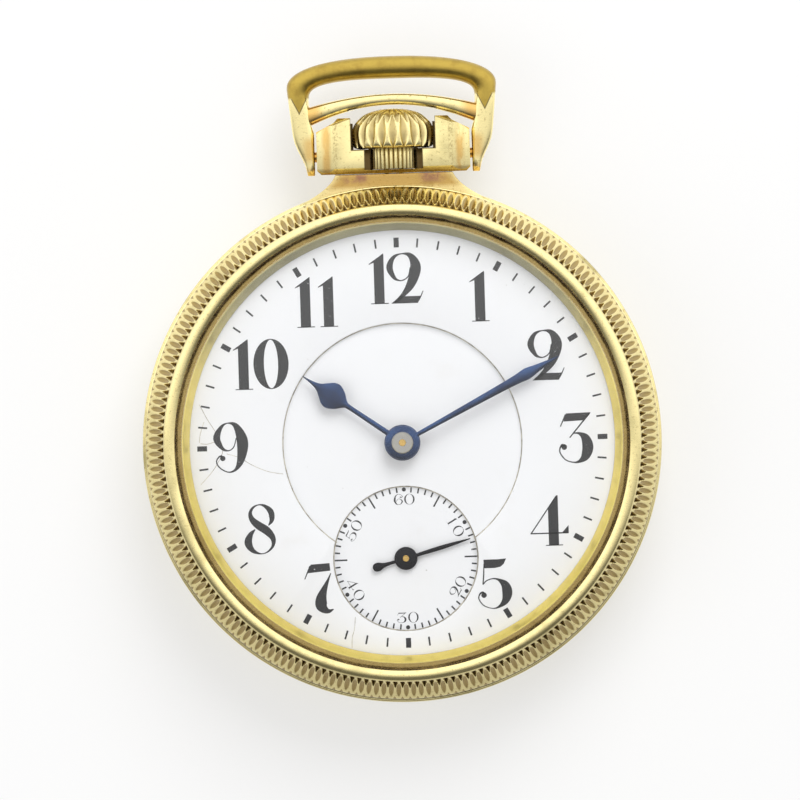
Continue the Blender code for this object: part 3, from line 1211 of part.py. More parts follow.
def dial():
    ring_hole = two_circles(CENTER_SINK_RADIUS, SECONDS_SINK_RADIUS, True)
    ring = [circle(DIAL_RADIUS, count=CASE_SEGMENTS), ring_hole]
    piece("dial_ring", stack([(DIAL_Z, DIAL_TOP, ring)]), ENAMEL)
    disc = DISC_THICKNESS
    center_outline = two_circles(CENTER_SINK_RADIUS + SINK_LAP, SECONDS_SINK_RADIUS, False)
    pipe_hole = circle(HOUR_PIPE_RADIUS + 4 * SEAM, count=16)
    center_layer = (CENTER_DISC_Z, CENTER_DISC_Z + disc, [center_outline, pipe_hole])
    piece("dial_center", stack([center_layer]), ENAMEL)
    seconds = [circle(SECONDS_SINK_RADIUS + SINK_LAP, FOURTH, PLATE_SEGMENTS), circle(ARBOR_RADIUS, FOURTH)]
    piece("dial_seconds", stack([(SECONDS_DISC_Z, SECONDS_DISC_Z + disc, seconds)]), ENAMEL)
    for number, angle in enumerate(DIAL_FEET, 1):
        place = polar(PLATE_RADIUS - DIAL_FOOT_INSET, angle)
        foot = stack([(PLATE_Z + 4 * SEAM, DIAL_Z - PRESS, [circle(DIAL_FOOT_RADIUS, place, 8)])])
        piece(f"dial_foot_{number}", foot, COPPER)


def hands():
    length = HOUR_HAND_LENGTH
    blade = [
        (HOUR_BOSS * 0.95, 0.26),
        (length * 0.56, 0.24),
        (length * 0.62, 0.85),
        (length * 0.69, 1.3),
        (length * 0.76, 1.1),
        (length * 0.83, 0.45),
        (length * 0.9, 0.17),
        (length, 0.04),
    ]
    spade = turned_points(hand_loop(HOUR_BOSS, blade), HOUR_HAND_ANGLE)
    hole = circle(HOUR_PIPE_RADIUS + PRESS, count=16)
    bm = stack([(HOUR_HAND_Z, HOUR_HAND_Z + HAND_THICKNESS, [spade, hole])])
    piece("hour_hand", bm, BLUED)

    length = MINUTE_HAND_LENGTH
    blade = [
        (MINUTE_BOSS * 0.95, 0.2),
        (length * 0.4, 0.3),
        (length * 0.72, 0.42),
        (length * 0.8, 0.56),
        (length * 0.87, 0.36),
        (length, 0.04),
    ]
    pointer = turned_points(hand_loop(MINUTE_BOSS, blade), MINUTE_HAND_ANGLE)
    hole = circle(CANNON_RADIUS + PRESS, count=16)
    top = MINUTE_HAND_Z + HAND_THICKNESS
    piece("minute_hand", stack([(MINUTE_HAND_Z, top, [pointer, hole])]), BLUED)
    collet = [circle(COLLET_RADIUS, count=20), circle(ARBOR_RADIUS + PRESS)]
    piece("hand_collet", stack([(top + PRESS, top + HAND_THICKNESS / 2 + PRESS, collet)]), STEEL)

    blade = [(SECONDS_BOSS * 0.95, 0.16), (SECONDS_HAND_LENGTH * 0.6, 0.2), (SECONDS_HAND_LENGTH, 0.05)]
    tail = [
        (SECONDS_BOSS * 0.95, 0.14),
        (SECONDS_TAIL * 0.6, 0.2),
        (SECONDS_TAIL * 0.8, 0.42),
        (SECONDS_TAIL * 0.95, 0.36),
        (SECONDS_TAIL, 0.12),
    ]
    pointer = turned_points(hand_loop(SECONDS_BOSS, blade, tail), SECONDS_HAND_ANGLE, FOURTH)
    hole = circle(PIVOT_RADIUS + PRESS, FOURTH, 8)
    bm = stack([(SECONDS_HAND_Z, SECONDS_HAND_Z + HAND_THICKNESS, [pointer, hole])])
    piece("seconds_hand", bm, BLUED, (*FOURTH, SECONDS_HAND_Z))


def main():
    for obj in list(bpy.data.objects):
        bpy.data.objects.remove(obj)
    for make in (
        case_center,
        bezel,
        crystal,
        case_back,
        pendant,
        pendant_sleeve,
        bow,
        crown,
        stem,
        winding_work,
        main_plate,
        bridges,
        pallet_cock,
        barrel,
        winding_wheels,
        train,
        pallet_fork,
        balance,
        motion_work,
        dial,
        hands,
    ):
        make()


main()
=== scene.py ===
"""Dresses the packed pocket watch: gold case, bow and crown, enamel dial, blued hands and movement.

Mesh code works in millimetres, and each finished mesh is scaled to metres when its object is made.
"""

import math

import bmesh
import bpy
from mathutils import Matrix, Vector


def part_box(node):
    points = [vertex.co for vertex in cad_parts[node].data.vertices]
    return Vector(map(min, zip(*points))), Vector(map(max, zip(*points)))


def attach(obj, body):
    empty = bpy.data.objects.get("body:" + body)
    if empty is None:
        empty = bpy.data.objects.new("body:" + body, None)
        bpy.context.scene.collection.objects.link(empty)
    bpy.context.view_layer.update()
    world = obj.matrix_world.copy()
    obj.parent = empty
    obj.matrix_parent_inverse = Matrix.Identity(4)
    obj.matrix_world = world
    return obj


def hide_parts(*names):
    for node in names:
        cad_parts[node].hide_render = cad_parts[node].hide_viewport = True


bl_info = {
    "name": "Open Face Pocket Watch",
    "version": (1, 0, 0),
    "blender": (4, 5, 0),
    "location": "View3D > Sidebar > Watch",
    "description": "Milled gold case, enamel dial, blued hands and finishes for the packed watch",
    "category": "Add Mesh",
}

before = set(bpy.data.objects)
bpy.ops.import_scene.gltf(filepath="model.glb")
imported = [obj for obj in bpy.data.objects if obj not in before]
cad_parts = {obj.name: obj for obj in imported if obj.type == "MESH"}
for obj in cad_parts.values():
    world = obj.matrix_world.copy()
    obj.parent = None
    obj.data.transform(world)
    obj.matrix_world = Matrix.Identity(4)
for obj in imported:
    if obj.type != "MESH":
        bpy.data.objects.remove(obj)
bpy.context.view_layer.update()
MM = 0.001
TURN = 2 * math.pi
UP = Vector((0.0, 0.0, 1.0))
WHITE = (1.0, 1.0, 1.0)
MERGE = 1e-4
SECTOR_STEPS = 40
STEM_BORE = 1.25
STEM_Z = sum(corner.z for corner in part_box("pendant_sleeve")) / 2 / MM
PIVOT_Y = sum(corner.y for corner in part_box("bow_pin_left")) / 2 / MM
SECONDS_Y = sum(corner.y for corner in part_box("dial_seconds")) / 2 / MM
ALONG_STEM = Matrix.Translation((0.0, 0.0, STEM_Z)) @ Matrix.Rotation(-TURN / 4, 4, "X")


# Settings that a user would change
def length(name, default, description):
    return bpy.props.FloatProperty(
        name=name, description=description, default=default * MM, min=0.0, unit="LENGTH", precision=5
    )


def number(name, default, description):
    return bpy.props.IntProperty(name=name, description=description, default=default, min=3)


def share(name, default, description):
    return bpy.props.FloatProperty(name=name, description=description, default=default, min=0.0)


def angle(name, degrees, description):
    return bpy.props.FloatProperty(
        name=name, description=description, default=math.radians(degrees), subtype="ANGLE", unit="ROTATION"
    )


def linear(level):
    level /= 255
    return level / 12.92 if level <= 0.04045 else ((level + 0.055) / 1.055) ** 2.4


def colour(name, red, green, blue, description):
    default = (linear(red), linear(green), linear(blue))
    return bpy.props.FloatVectorProperty(
        name=name, description=description, default=default, size=3, min=0.0, max=1.0, subtype="COLOR"
    )


class WatchCase(bpy.types.PropertyGroup):
    """Sizes of the case"""

    flutes: number("Flutes", 208, "Cuts round the milled edge of the bezel")
    flute_depth: length("Flute depth", 0.19, "Depth of a cut in the milled edge")
    notch_depth: length("Notch depth", 0.3, "Depth of the small cut between two flutes")
    bead_step: length("Bead step", 0.07, "Height of the step along the edge of the case")
    neck_edge: length("Neck edge", 0.22, "Rounding of the neck's edges")


class WatchPendant(bpy.types.PropertyGroup):
    """Sizes of the pendant, bow and crown"""

    pendant_edge: length("Pendant edge", 0.14, "Rounding of the pendant's edges")
    crown_flutes: number("Crown flutes", 22, "Cuts round the crown")
    crown_depth: length("Crown flute depth", 0.3, "Depth of a cut in the crown")
    sleeve_ribs: number("Sleeve ribs", 28, "Ribs round the sleeve under the crown")
    sleeve_depth: length("Sleeve rib depth", 0.2, "Depth between two ribs")
    tube_squareness: share("Tube squareness", 2.2, "Power of the round section of the bow")
    leg_squareness: share("Leg squareness", 5.0, "Power of the flat section of the legs")


class WatchDial(bpy.types.PropertyGroup):
    """Sizes of the dial and its printing"""

    numeral: length("Numeral height", 4.88, "Height of the hour numerals")
    small_numeral: length("Small numeral height", 1.04, "Height of the seconds numerals")
    track: length("Track radius", 19.45, "Middle of the minute marks")
    tick: length("Minute mark", 0.87, "Length of a minute mark")
    tick_width: length("Minute mark width", 0.17, "Width of a minute mark")
    bar: length("Hour mark", 0.95, "Length of an hour mark")
    bar_width: length("Hour mark width", 0.5, "Width of an hour mark")
    ink: length("Ink height", 0.012, "Height of the printing on the enamel")
    crack: length("Crack width", 0.05, "Width of a hairline in the enamel")
    sink_edge: length("Sink edge", 0.09, "Rounding of the enamel along the sunk discs")


class WatchHands(bpy.types.PropertyGroup):
    """Sizes of the hands"""

    crown: length("Crown", 0.09, "How much higher the middle of a hand is than its edges")
    hour_turn: angle("Hour hand", 305.4, "Place of the hour hand, clockwise from twelve")
    minute_turn: angle("Minute hand", 62.8, "Place of the minute hand, clockwise from twelve")
    seconds_turn: angle("Seconds hand", 74.6, "Place of the seconds hand, clockwise from sixty")


class WatchColours(bpy.types.PropertyGroup):
    """Colours of the finishes"""

    gold: colour("Gold", 242, 226, 164, "Polished gold")
    warm: colour("Warm gold", 212, 162, 78, "Gold that mirrors gold")
    yellow: colour("Yellow gold", 246, 224, 108, "Gold that mirrors the dial")
    # Painted shade: the neck's gold under the pendant, standing for shadow and the dark reflection of its
    # underside.
    neck_shade: colour("Brown gold", 168, 128, 58, "Darkened gold of the neck")
    # Real specks and worn edges, and also painted shade in cuts, on the neck under the pendant and on the
    # pendant's foot.
    shadow: colour("Gold shadow", 138, 108, 50, "Specks and worn edges")
    tarnish: colour("Tarnish", 164, 152, 98, "Greenish film on worn gold")
    # Painted reflection of the shaded dial on the upper rehaut.
    grey_reflection: colour("Grey film", 156, 154, 126, "Dull film on the upper rehaut")
    purple: colour("Heat tarnish", 140, 96, 84, "Purple film on the neck")
    # Matte gold of the bow's top; its dull greenish tone is partly a painted reflection of dim surroundings.
    olive_and_dark_reflection: colour("Dull gold", 182, 156, 74, "Matte gold of the bow")
    # Dirty colour and also painted shade: the bottoms of cuts, the groove by the crystal and the pendant's
    # hollows; also the bow's seam line.
    grime_and_shade: colour("Grime", 62, 42, 16, "Dirt in the bottom of cuts")
    enamel: colour("Enamel", 246, 247, 249, "White of the dial")
    stain: colour("Stain", 214, 208, 192, "Old marks in the enamel")
    ink: colour("Ink", 24, 24, 26, "Fired black of the numerals")
    crack: colour("Crack", 138, 128, 108, "Hairlines in the enamel")
    blue: colour("Blue", 50, 76, 118, "Blued steel")
    deep_blue: colour("Deep blue", 28, 34, 60, "Darker parts of blued steel")
    black: colour("Black", 26, 25, 29, "Steel darkened to black")
    steel: colour("Steel", 196, 198, 202, "Polished steel")
    cap: colour("Cap", 176, 174, 168, "Worn steel of the cap over the hands")
    brass: colour("Brass", 222, 184, 104, "Gilded brass wheels")
    nickel: colour("Nickel", 206, 204, 198, "Striped plates and bridges")
    ruby: colour("Ruby", 168, 22, 52, "Jewels")
    copper: colour("Copper", 200, 120, 84, "Dial feet")


class WatchStage(bpy.types.PropertyGroup):
    """Camera, lamps and floor"""

    aim: bpy.props.FloatVectorProperty(
        name="Aim",
        description="Point in the middle of the picture",
        default=(-0.1 * MM, 4.15 * MM, 9.6 * MM),
        size=3,
        subtype="TRANSLATION",
        unit="LENGTH",
    )
    distance: length("Distance", 2000.0, "From the camera to the point it looks at")
    width: length("Width", 77.7, "Width of the picture at that point")
    tilt: angle("Tilt", 0.0, "How far the camera leans to six o'clock")
    roll: angle("Roll", 1.78, "How far the watch is turned in the picture")
    key: share("Key", 2.3, "Power of the large lamp")
    fill: share("Fill", 0.6, "Power of the small lamp")
    sky: share("Sky", 0.6, "Light from all round")
    floor: colour("Floor", 249, 249, 249, "Pale floor")


GROUPS = {
    "watch_case": WatchCase,
    "watch_pendant": WatchPendant,
    "watch_dial": WatchDial,
    "watch_hands": WatchHands,
    "watch_colours": WatchColours,
    "watch_stage": WatchStage,
}


def colours():
    return bpy.context.scene.watch_colours


# Shader sums and nodes
class Value:
    """A shader socket whose sums add Math nodes."""

    def __init__(self, finish, socket):
        self.finish = finish
        self.socket = socket

    def sum(self, operation, first, second=0.0):
        return self.finish.node("Math", {"operation": operation}, {0: first, 1: second})

    def __add__(self, other):
        return self.sum("ADD", self, other)

    def __sub__(self, other):
        return self.sum("SUBTRACT", self, other)

    def __rsub__(self, other):
        return self.sum("SUBTRACT", other, self)

    def __mul__(self, other):
        return self.sum("MULTIPLY", self, other)

    def __pow__(self, other):
        return self.sum("POWER", self, other)

    def __abs__(self):
        return self.sum("ABSOLUTE", self)

    __radd__ = __add__
    __rmul__ = __mul__

    def most(self, other):
        return self.sum("MAXIMUM", self, other)

    def wave(self):
        return self.sum("SINE", self)

    def ramp(self, low, high):
        """0 below low, 1 above high and smooth between."""
        settings = {"interpolation_type": "SMOOTHSTEP"}
        inputs = {"Value": self, "From Min": low, "From Max": high}
        return self.finish.node("MapRange", settings, inputs)

    def other(self, name):
        """Another output of the same node."""
        return Value(self.finish, self.socket.node.outputs[name])


class Finish:
    """The nodes of one material, or of the world."""

    def __init__(self, name, holder=None):
        self.holder = holder or bpy.data.materials.new(name)
        self.holder.use_nodes = True
        self.tree = self.holder.node_tree
        self.tree.nodes.clear()

    def node(self, kind, settings, inputs, output=0):
        node = self.tree.nodes.new("ShaderNode" + kind)
        for key, value in settings.items():
            setattr(node, key, value)
        for key, value in inputs.items():
            if isinstance(key, int):
                socket = node.inputs[key]
            else:
                socket = next(s for s in node.inputs if s.name == key and s.enabled)
            if isinstance(value, Value):
                self.tree.links.new(value.socket, socket)
            elif socket.type == "RGBA":
                socket.default_value = (*value[:3], 1.0)
            else:
                socket.default_value = value
        shown = [s for s in node.outputs if s.enabled]
        return Value(self, shown[output] if isinstance(output, int) else node.outputs[output])

    def place(self, scale=(1.0, 1.0, 1.0), turn=(0.0, 0.0, 0.0)):
        """Object coordinates in millimetres, turned and stretched."""
        spot = self.node("TexCoord", {}, {}, "Object")
        size = tuple(s / MM for s in scale)
        return self.node("Mapping", {}, {"Vector": spot, "Rotation": turn, "Scale": size})

    def axes(self, spot):
        first = self.node("SeparateXYZ", {}, {"Vector": spot}, "X")
        return first, first.other("Y"), first.other("Z")

    def noise(self, spot, scale, detail=3.0, roughness=0.6):
        inputs = {"Vector": spot, "Scale": scale, "Detail": detail, "Roughness": roughness}
        return self.node("TexNoise", {}, inputs)

    def mix(self, factor, first, second):
        settings = {"data_type": "RGBA", "clamp_factor": True}
        return self.node("Mix", settings, {"Factor": factor, "A": first, "B": second})

    def attribute(self, name):
        return self.node("Attribute", {"attribute_name": name}, {}, "Fac")

    def bump(self, height, strength, depth):
        inputs = {"Height": height, "Strength": strength, "Distance": depth * MM}
        return self.node("Bump", {}, inputs)

    def surface(self, **inputs):
        named = {key.replace("_", " ").title(): value for key, value in inputs.items()}
        shader = self.node("BsdfPrincipled", {}, named)
        self.output(shader)
        return self.holder

    def metallic(self, shade, rough, normal):
        return self.surface(base_color=shade, metallic=1.0, roughness=rough, normal=normal)

    def output(self, shader, kind="OutputMaterial"):
        node = self.tree.nodes.new("ShaderNode" + kind)
        self.tree.links.new(shader.socket, node.inputs["Surface"])


# Finishes
def started(name):
    """A new finish, the colours and the place on the piece."""
    finish = Finish(name)
    return finish, colours(), finish.place()


def worn_gold(f, spot, sheen, wear_and_shade):
    """Colour, roughness and normal of handled gold."""
    c = colours()
    film = f.noise(spot, 0.22, 5.0).ramp(0.5, 0.74) * wear_and_shade
    specks = f.noise(spot, 3.4, 3.0).ramp(0.58, 0.7) * wear_and_shade
    rubbed = f.noise(f.place((1.0, 9.0, 2.0), (0.3, 0.2, 0.6)), 0.8, 3.0)
    shade = f.mix(film * 0.75, c.gold, c.tarnish)
    shade = f.mix(specks * 0.5, shade, c.shadow)
    rough = sheen + film * 0.15 + specks * 0.14 + rubbed.ramp(0.45, 0.75) * 0.08
    normal = f.bump(rubbed * 0.6 + f.noise(spot, 5.0, 2.0) * 0.4, 0.1, 0.03)
    return shade, rough, normal


def polished_gold(name, sheen=0.14, wear_and_shade=1.0):
    f = Finish(name)
    shade, rough, normal = worn_gold(f, f.place(), sheen, wear_and_shade)
    return f.metallic(shade, rough, normal)


def shade_and_dirt_in_cuts(f, spot, shade, worn, wear_and_shade, dirt_and_shade=1.0):
    """Colour with painted shade in the cuts and dirty colour at their bottoms, and their depth, which is kept on
    each vertex.
    """
    c = colours()
    deep = f.attribute("cut")
    uneven = f.noise(spot, 0.5, 3.0) * 0.5 + 0.75
    # Painted shade over the cuts, by their depth.
    shade = f.mix(deep.ramp(*worn) * wear_and_shade, shade, c.shadow)
    # Dirty colour and painted shade in the deepest parts of the cuts and in the groove.
    return f.mix((deep * uneven).ramp(0.72, 1.1) * dirt_and_shade, shade, c.grime_and_shade), deep


def cut_gold(name, sheen, dirt_and_shade=1.0):
    """Gold with painted shade and dirty colour in its cuts."""
    f, _, spot = started(name)
    shade, rough, normal = worn_gold(f, spot, sheen, 0.6)
    shade, deep = shade_and_dirt_in_cuts(f, spot, shade, (0.1, 0.75), 0.55, dirt_and_shade)
    return f.metallic(shade, rough + deep * 0.18, normal)


def bezel_gold(name):
    """Satin ring, painted shade and dirty colour in the cuts, and a rehaut with a painted yellow reflection of
    the dial below and a painted grey reflection of the shaded dial above.
    """
    f, c, spot = started(name)
    across, along, _ = f.axes(spot)
    radius = (across * across + along * along) ** 0.5
    shade, rough, normal = worn_gold(f, spot, 0.22, 0.6)
    inner = 1 - radius.ramp(21.3, 21.5)
    # The upper part of the rehaut, which gets the painted grey reflection of the shaded dial.
    film = inner * along.ramp(5.0, 17.0)
    # Painted yellow reflection of the dial all round the rehaut.
    shade = f.mix(inner * 0.8, shade, c.yellow)
    shade = f.mix(film * 0.85, shade, c.grey_reflection)
    # Painted shade and dirty colour in the flutes, the notches and the groove by the crystal.
    shade, _ = shade_and_dirt_in_cuts(f, spot, shade, (0.06, 0.3), 0.75)
    return f.metallic(shade, rough + inner * 0.14 + film * 0.1, normal)


def neck_gold(name):
    """Gold with painted shade under the pendant, purple patches, and a lower edge left bright as a painted
    highlight.
    """
    f, c, spot = started(name)
    shade, rough, normal = worn_gold(f, spot, 0.24, 0.8)
    across, along, _ = f.axes(spot)
    side = abs(across)
    cloud = f.noise(spot, 0.9, 4.0)
    # Painted shade under the pendant, weaker on the lower part so that the lower edge stays bright as a painted
    # highlight.
    face = (1 - (side + (along - 26.2) * 0.9).ramp(4.6, 6.2)) * (1 - (along * -1.0).ramp(-25.2, -24.6) * 0.5)
    patch = (1 - abs(side - 3.7).ramp(0.5, 1.6)) * along.ramp(25.0, 25.7) * cloud.ramp(0.36, 0.6)
    shade = f.mix(face * 0.85, shade, c.neck_shade)
    # Mottled painted shade in the same place.
    shade = f.mix(cloud.ramp(0.5, 0.72) * face * 0.5, shade, c.shadow)
    shade = f.mix(patch * 0.75, shade, c.purple)
    return f.metallic(shade, rough, normal)


def pendant_gold(name):
    """Pale flats, painted warm reflections in the side channels, speckled ridges, and painted shade on the foot
    and in the hollows.
    """
    f, c, spot = started(name)
    shade, rough, normal = worn_gold(f, spot, 0.2, 0.7)
    across, along, _ = f.axes(spot)
    side = abs(across)
    streak = f.noise(f.place((1.0, 0.3, 1.0)), 1.3, 3.0).ramp(0.3, 0.6)
    # Painted warm reflection of gold along the side channels.
    channel = (1 - abs(side - 6.5).ramp(0.15, 0.6)) * streak
    ridge = (1 - abs(side - 5.6).ramp(0.12, 0.32)) * f.noise(spot, 4.5, 3.0).ramp(0.46, 0.6)
    # Painted shade in the crown's cavity and the sleeve's pocket, which also darkens the blocks placed there.
    hollow = (1 - side.ramp(4.08, 4.2)) * along.ramp(28.45, 28.55)
    pocket = (1 - side.ramp(2.8, 2.92)) * along.ramp(26.55, 26.65)
    # Painted shade on the lower bevel of the foot.
    foot = 1 - along.ramp(26.6, 26.9)
    shade = f.mix(channel * 0.7, shade, c.warm)
    shade = f.mix(ridge * 0.35, shade, c.shadow)
    shade = f.mix(foot * 0.6, shade, c.shadow)
    shade = f.mix(hollow.most(pocket) * 0.96, shade, c.grime_and_shade)
    return f.metallic(shade, rough + ridge * 0.2, normal)


def bow_gold(name):
    """Matte round top whose dull greenish colour is partly a painted reflection of dim surroundings, polished
    legs that run up into it in a point, and a painted warm reflection by the pivots and the feet.
    """
    f, c, spot = started(name)
    shade, rough, normal = worn_gold(f, spot, 0.17, 0.8)
    across, along, _ = f.axes(spot)
    side = abs(across)
    rise = along - abs(side - 9.03) * 2.0
    upper = along.ramp(33.6, 33.9)
    tongue = rise.ramp(32.2, 32.4).most(upper)
    seam = (1 - abs(rise - 32.25).ramp(0.02, 0.2)) * (1 - upper)
    # Matte top, mottled; its darker tone is partly a painted reflection.
    dull = f.mix(f.noise(spot, 1.1, 5.0).ramp(0.4, 0.75) * 0.4, c.olive_and_dark_reflection, c.shadow)
    brushed = f.noise(f.place((0.25, 6.0, 6.0)), 1.2, 3.0)
    # Painted warm reflection of nearby gold by the pivots and at the feet.
    warm = (1 - abs(along - 28.7).ramp(0.6, 1.6)) * (1 - side.ramp(8.2, 9.2))
    warm = warm.most((1 - along.ramp(26.7, 27.2)) * 0.8)
    shade = f.mix(warm * 0.6, shade, c.warm)
    shade = f.mix(tongue, shade, dull)
    shade = f.mix(seam * 0.8, shade, c.grime_and_shade)
    rough = rough + tongue * (brushed * 0.16 + 0.06)
    return f.metallic(shade, rough, normal)


def crossbar_gold(name):
    """Polished bar, warm where its ends mirror the legs."""
    f, c, spot = started(name)
    shade, rough, normal = worn_gold(f, spot, 0.2, 1.0)
    across, _, _ = f.axes(spot)
    shade = f.mix(abs(across).ramp(6.2, 7.6) * 0.75, shade, c.warm)
    return f.metallic(shade, rough, normal)


def enamel(name):
    f, c, spot = started(name)
    cloud = f.noise(spot, 0.18, 4.0).ramp(0.55, 0.85)
    speck = f.noise(spot, 2.3, 2.0).ramp(0.755, 0.79)
    shade = f.mix(cloud * 0.16, c.enamel, c.stain)
    shade = f.mix(speck * 0.6, shade, c.crack)
    ripple = f.noise(spot, 0.4, 2.0)
    normal = f.bump(ripple, 0.05, 0.05)
    return f.surface(base_color=shade, roughness=0.1 + cloud * 0.08, normal=normal, coat_weight=0.3)


def ink(name):
    f, c, spot = started(name)
    pit = f.noise(spot, 4.6, 2.0).ramp(0.72, 0.76)
    shade = f.mix(pit, c.ink, c.enamel)
    rough = f.noise(spot, 2.0, 3.0) * 0.2 + 0.25
    return f.surface(base_color=shade, roughness=rough)


def hairline(name):
    f, c, spot = started(name)
    faint = f.noise(spot, 1.1, 3.0).ramp(0.3, 0.7)
    return f.surface(base_color=f.mix(faint, c.crack, c.stain), roughness=0.5)


def blued(name, bright, dark):
    f = Finish(name)
    spot = f.place()
    drift = f.noise(spot, 0.35, 3.0).ramp(0.3, 0.7)
    shade = f.mix(drift * 0.7, bright, dark)
    grain = f.noise(f.place(turn=(0.0, 0.0, 0.5)), 6.0, 3.0)
    normal = f.bump(grain, 0.06, 0.02)
    return f.metallic(shade, grain * 0.16 + 0.16, normal)


def metal(name, base, dark, sheen, grain=6.0):
    """Plain worked metal with fine grain and darker handling marks."""
    f = Finish(name)
    spot = f.place()
    marks = f.noise(spot, 0.7, 4.0).ramp(0.5, 0.8)
    fine = f.noise(f.place((1.0, 6.0, 1.0)), grain, 3.0)
    shade = f.mix(marks * 0.35, base, dark)
    normal = f.bump(fine, 0.12, 0.02)
    return f.metallic(shade, sheen + fine * 0.12 + marks * 0.1, normal)


def turned(name, base, dark, sheen):
    """Wheels and discs with rings of turning marks about the watch centre."""
    f = Finish(name)
    spot = f.place()
    across, along, _ = f.axes(spot)
    radius = (across * across + along * along) ** 0.5
    rings = (radius * 31.0).wave() * 0.5 + 0.5
    marks = f.noise(spot, 0.9, 4.0).ramp(0.5, 0.8)
    shade = f.mix(marks * 0.3 + rings * 0.12, base, dark)
    normal = f.bump(rings, 0.1, 0.01)
    return f.metallic(shade, sheen + rings * 0.08 + marks * 0.1, normal)


def striped(name):
    """Nickel with broad polished stripes, as on the plates of a good movement."""
    f = Finish(name)
    c = colours()
    spot = f.place(turn=(0.0, 0.0, 0.5))
    across, _, _ = f.axes(spot)
    stripe = (across * 3.2).wave() * 0.5 + 0.5
    brushed = f.noise(f.place((0.4, 8.0, 1.0), (0.0, 0.0, 0.5)), 1.6, 3.0)
    shade = f.mix(stripe * 0.35, c.nickel, c.steel)
    shade = f.mix(brushed.ramp(0.5, 0.9) * 0.2, shade, c.shadow)
    normal = f.bump(stripe * 0.7 + brushed * 0.3, 0.14, 0.03)
    return f.metallic(shade, 0.2 + stripe * 0.16, normal)


def jewel(name):
    f, c, spot = started(name)
    cloud = f.noise(spot, 2.5, 2.0)
    shade = f.mix(cloud * 0.5, c.ruby, c.ink)
    return f.surface(base_color=shade, roughness=0.05 + cloud * 0.05, coat_weight=1.0)


def glass(name):
    """Clear crystal: light passes straight through, and its face mirrors by Fresnel."""
    f = Finish(name)
    haze = f.noise(f.place(), 0.3, 4.0).ramp(0.4, 0.8)
    clear = f.node("BsdfTransparent", {}, {"Color": WHITE})
    gloss = {"Base Color": WHITE, "Metallic": 1.0, "Roughness": 0.02 + haze * 0.03}
    mirror = f.node("BsdfPrincipled", {}, gloss)
    edge = f.node("Fresnel", {}, {"IOR": 1.46}) * (1 - f.node("NewGeometry", {}, {}, "Backfacing"))
    f.output(f.node("MixShader", {}, {0: edge * 1.5, 1: clear, 2: mirror}))
    return f.holder


def pale_floor(name):
    """Diffuse floor that glows a little for the camera, so that it is white and keeps shadows.

    In mirrors it is bright behind the watch and dark in front of it.
    """
    f = Finish(name)
    stage = bpy.context.scene.watch_stage
    spot = f.place()
    _, along, _ = f.axes(spot)
    tone = f.noise(spot, 0.01, 2.0) * 0.02 + 0.98
    shade = f.mix(tone, (0.9, 0.9, 0.9), stage.floor)
    matte = f.node("BsdfDiffuse", {}, {"Color": shade})
    path = f.node("LightPath", {}, {}, "Is Camera Ray")
    glossy = path.other("Is Glossy Ray")
    seen = path.most(path.other("Is Transmission Ray"))
    mirrored = along.ramp(-60.0, 60.0) * 0.65 + 0.6
    glow = f.node("Emission", {}, {"Color": WHITE, "Strength": seen + glossy * mirrored})
    f.output(f.node("MixShader", {}, {0: seen * 0.5 + glossy, 1: matte, 2: glow}))
    return f.holder


# Mesh tools
def chain(bm, points, closed):
    row = [bm.verts.new(point) for point in points]
    pairs = list(zip(row, row[1:]))
    if closed:
        pairs.append((row[-1], row[0]))
    return row, [bm.edges.new(pair) for pair in pairs]


def spin(bm, geom, turn, steps, **options):
    """Blender's spin about the Z axis."""
    bmesh.ops.spin(
        bm,
        geom=geom,
        cent=(0.0, 0.0, 0.0),
        axis=UP,
        dvec=(0.0, 0.0, 0.0),
        angle=turn,
        steps=steps,
        use_normal_flip=False,
        **options,
    )


def spun(profile, steps, closed=True):
    """A profile of (radius, height) points turned once about the Z axis.

    Where it has many steps, one sector is turned and then repeated.
    """
    bm = bmesh.new()
    row, edges = chain(bm, [(r, 0.0, z) for r, z in profile], closed)
    sectors = next(n for n in range(max(1, steps // SECTOR_STEPS), 0, -1) if steps % n == 0)
    if sectors == 1:
        spin(bm, row + edges, TURN, steps, use_merge=True, use_duplicate=False)
        return tidy(bm)
    spin(bm, row + edges, TURN / sectors, steps // sectors, use_merge=False, use_duplicate=False)
    geom = [*bm.verts, *bm.edges, *bm.faces]
    spin(bm, geom, TURN * (sectors - 1) / sectors, sectors - 1, use_merge=False, use_duplicate=True)
    return tidy(bm)


def tidy(bm):
    bmesh.ops.remove_doubles(bm, verts=bm.verts, dist=MERGE)
    bmesh.ops.recalc_face_normals(bm, faces=bm.faces)
    return bm


def loft(bm, rows, closed, capped=False):
    """Skins rows of points of one length, each row extruded from the one before."""
    row, edges = chain(bm, rows[0], closed)
    if capped:
        bm.faces.new(row)
    for points in rows[1:]:
        grown = bmesh.ops.extrude_edge_only(bm, edges=edges)["geom"]
        fresh = {g for g in grown if isinstance(g, bmesh.types.BMVert)}
        row = [next(e.other_vert(v) for e in v.link_edges if e.other_vert(v) in fresh) for v in row]
        edges = list({e for v in row for e in v.link_edges if e.other_vert(v) in fresh})
        for vert, point in zip(row, points):
            vert.co = point
    if capped:
        bm.faces.new(row)
    return bm


def smoothed(points, parts):
    """A smooth curve through points of any number of values."""
    rows = [points[0], *points, points[-1]]
    curve = []
    for a, b, c, d in zip(rows, rows[1:], rows[2:], rows[3:]):
        for i in range(parts):
            t = i / parts
            curve.append(
                tuple(
                    q + 0.5 * t * (r - p + t * (2 * p - 5 * q + 4 * r - s + t * (3 * (q - r) + s - p)))
                    for p, q, r, s in zip(a, b, c, d)
                )
            )
    curve.append(tuple(points[-1]))
    return curve


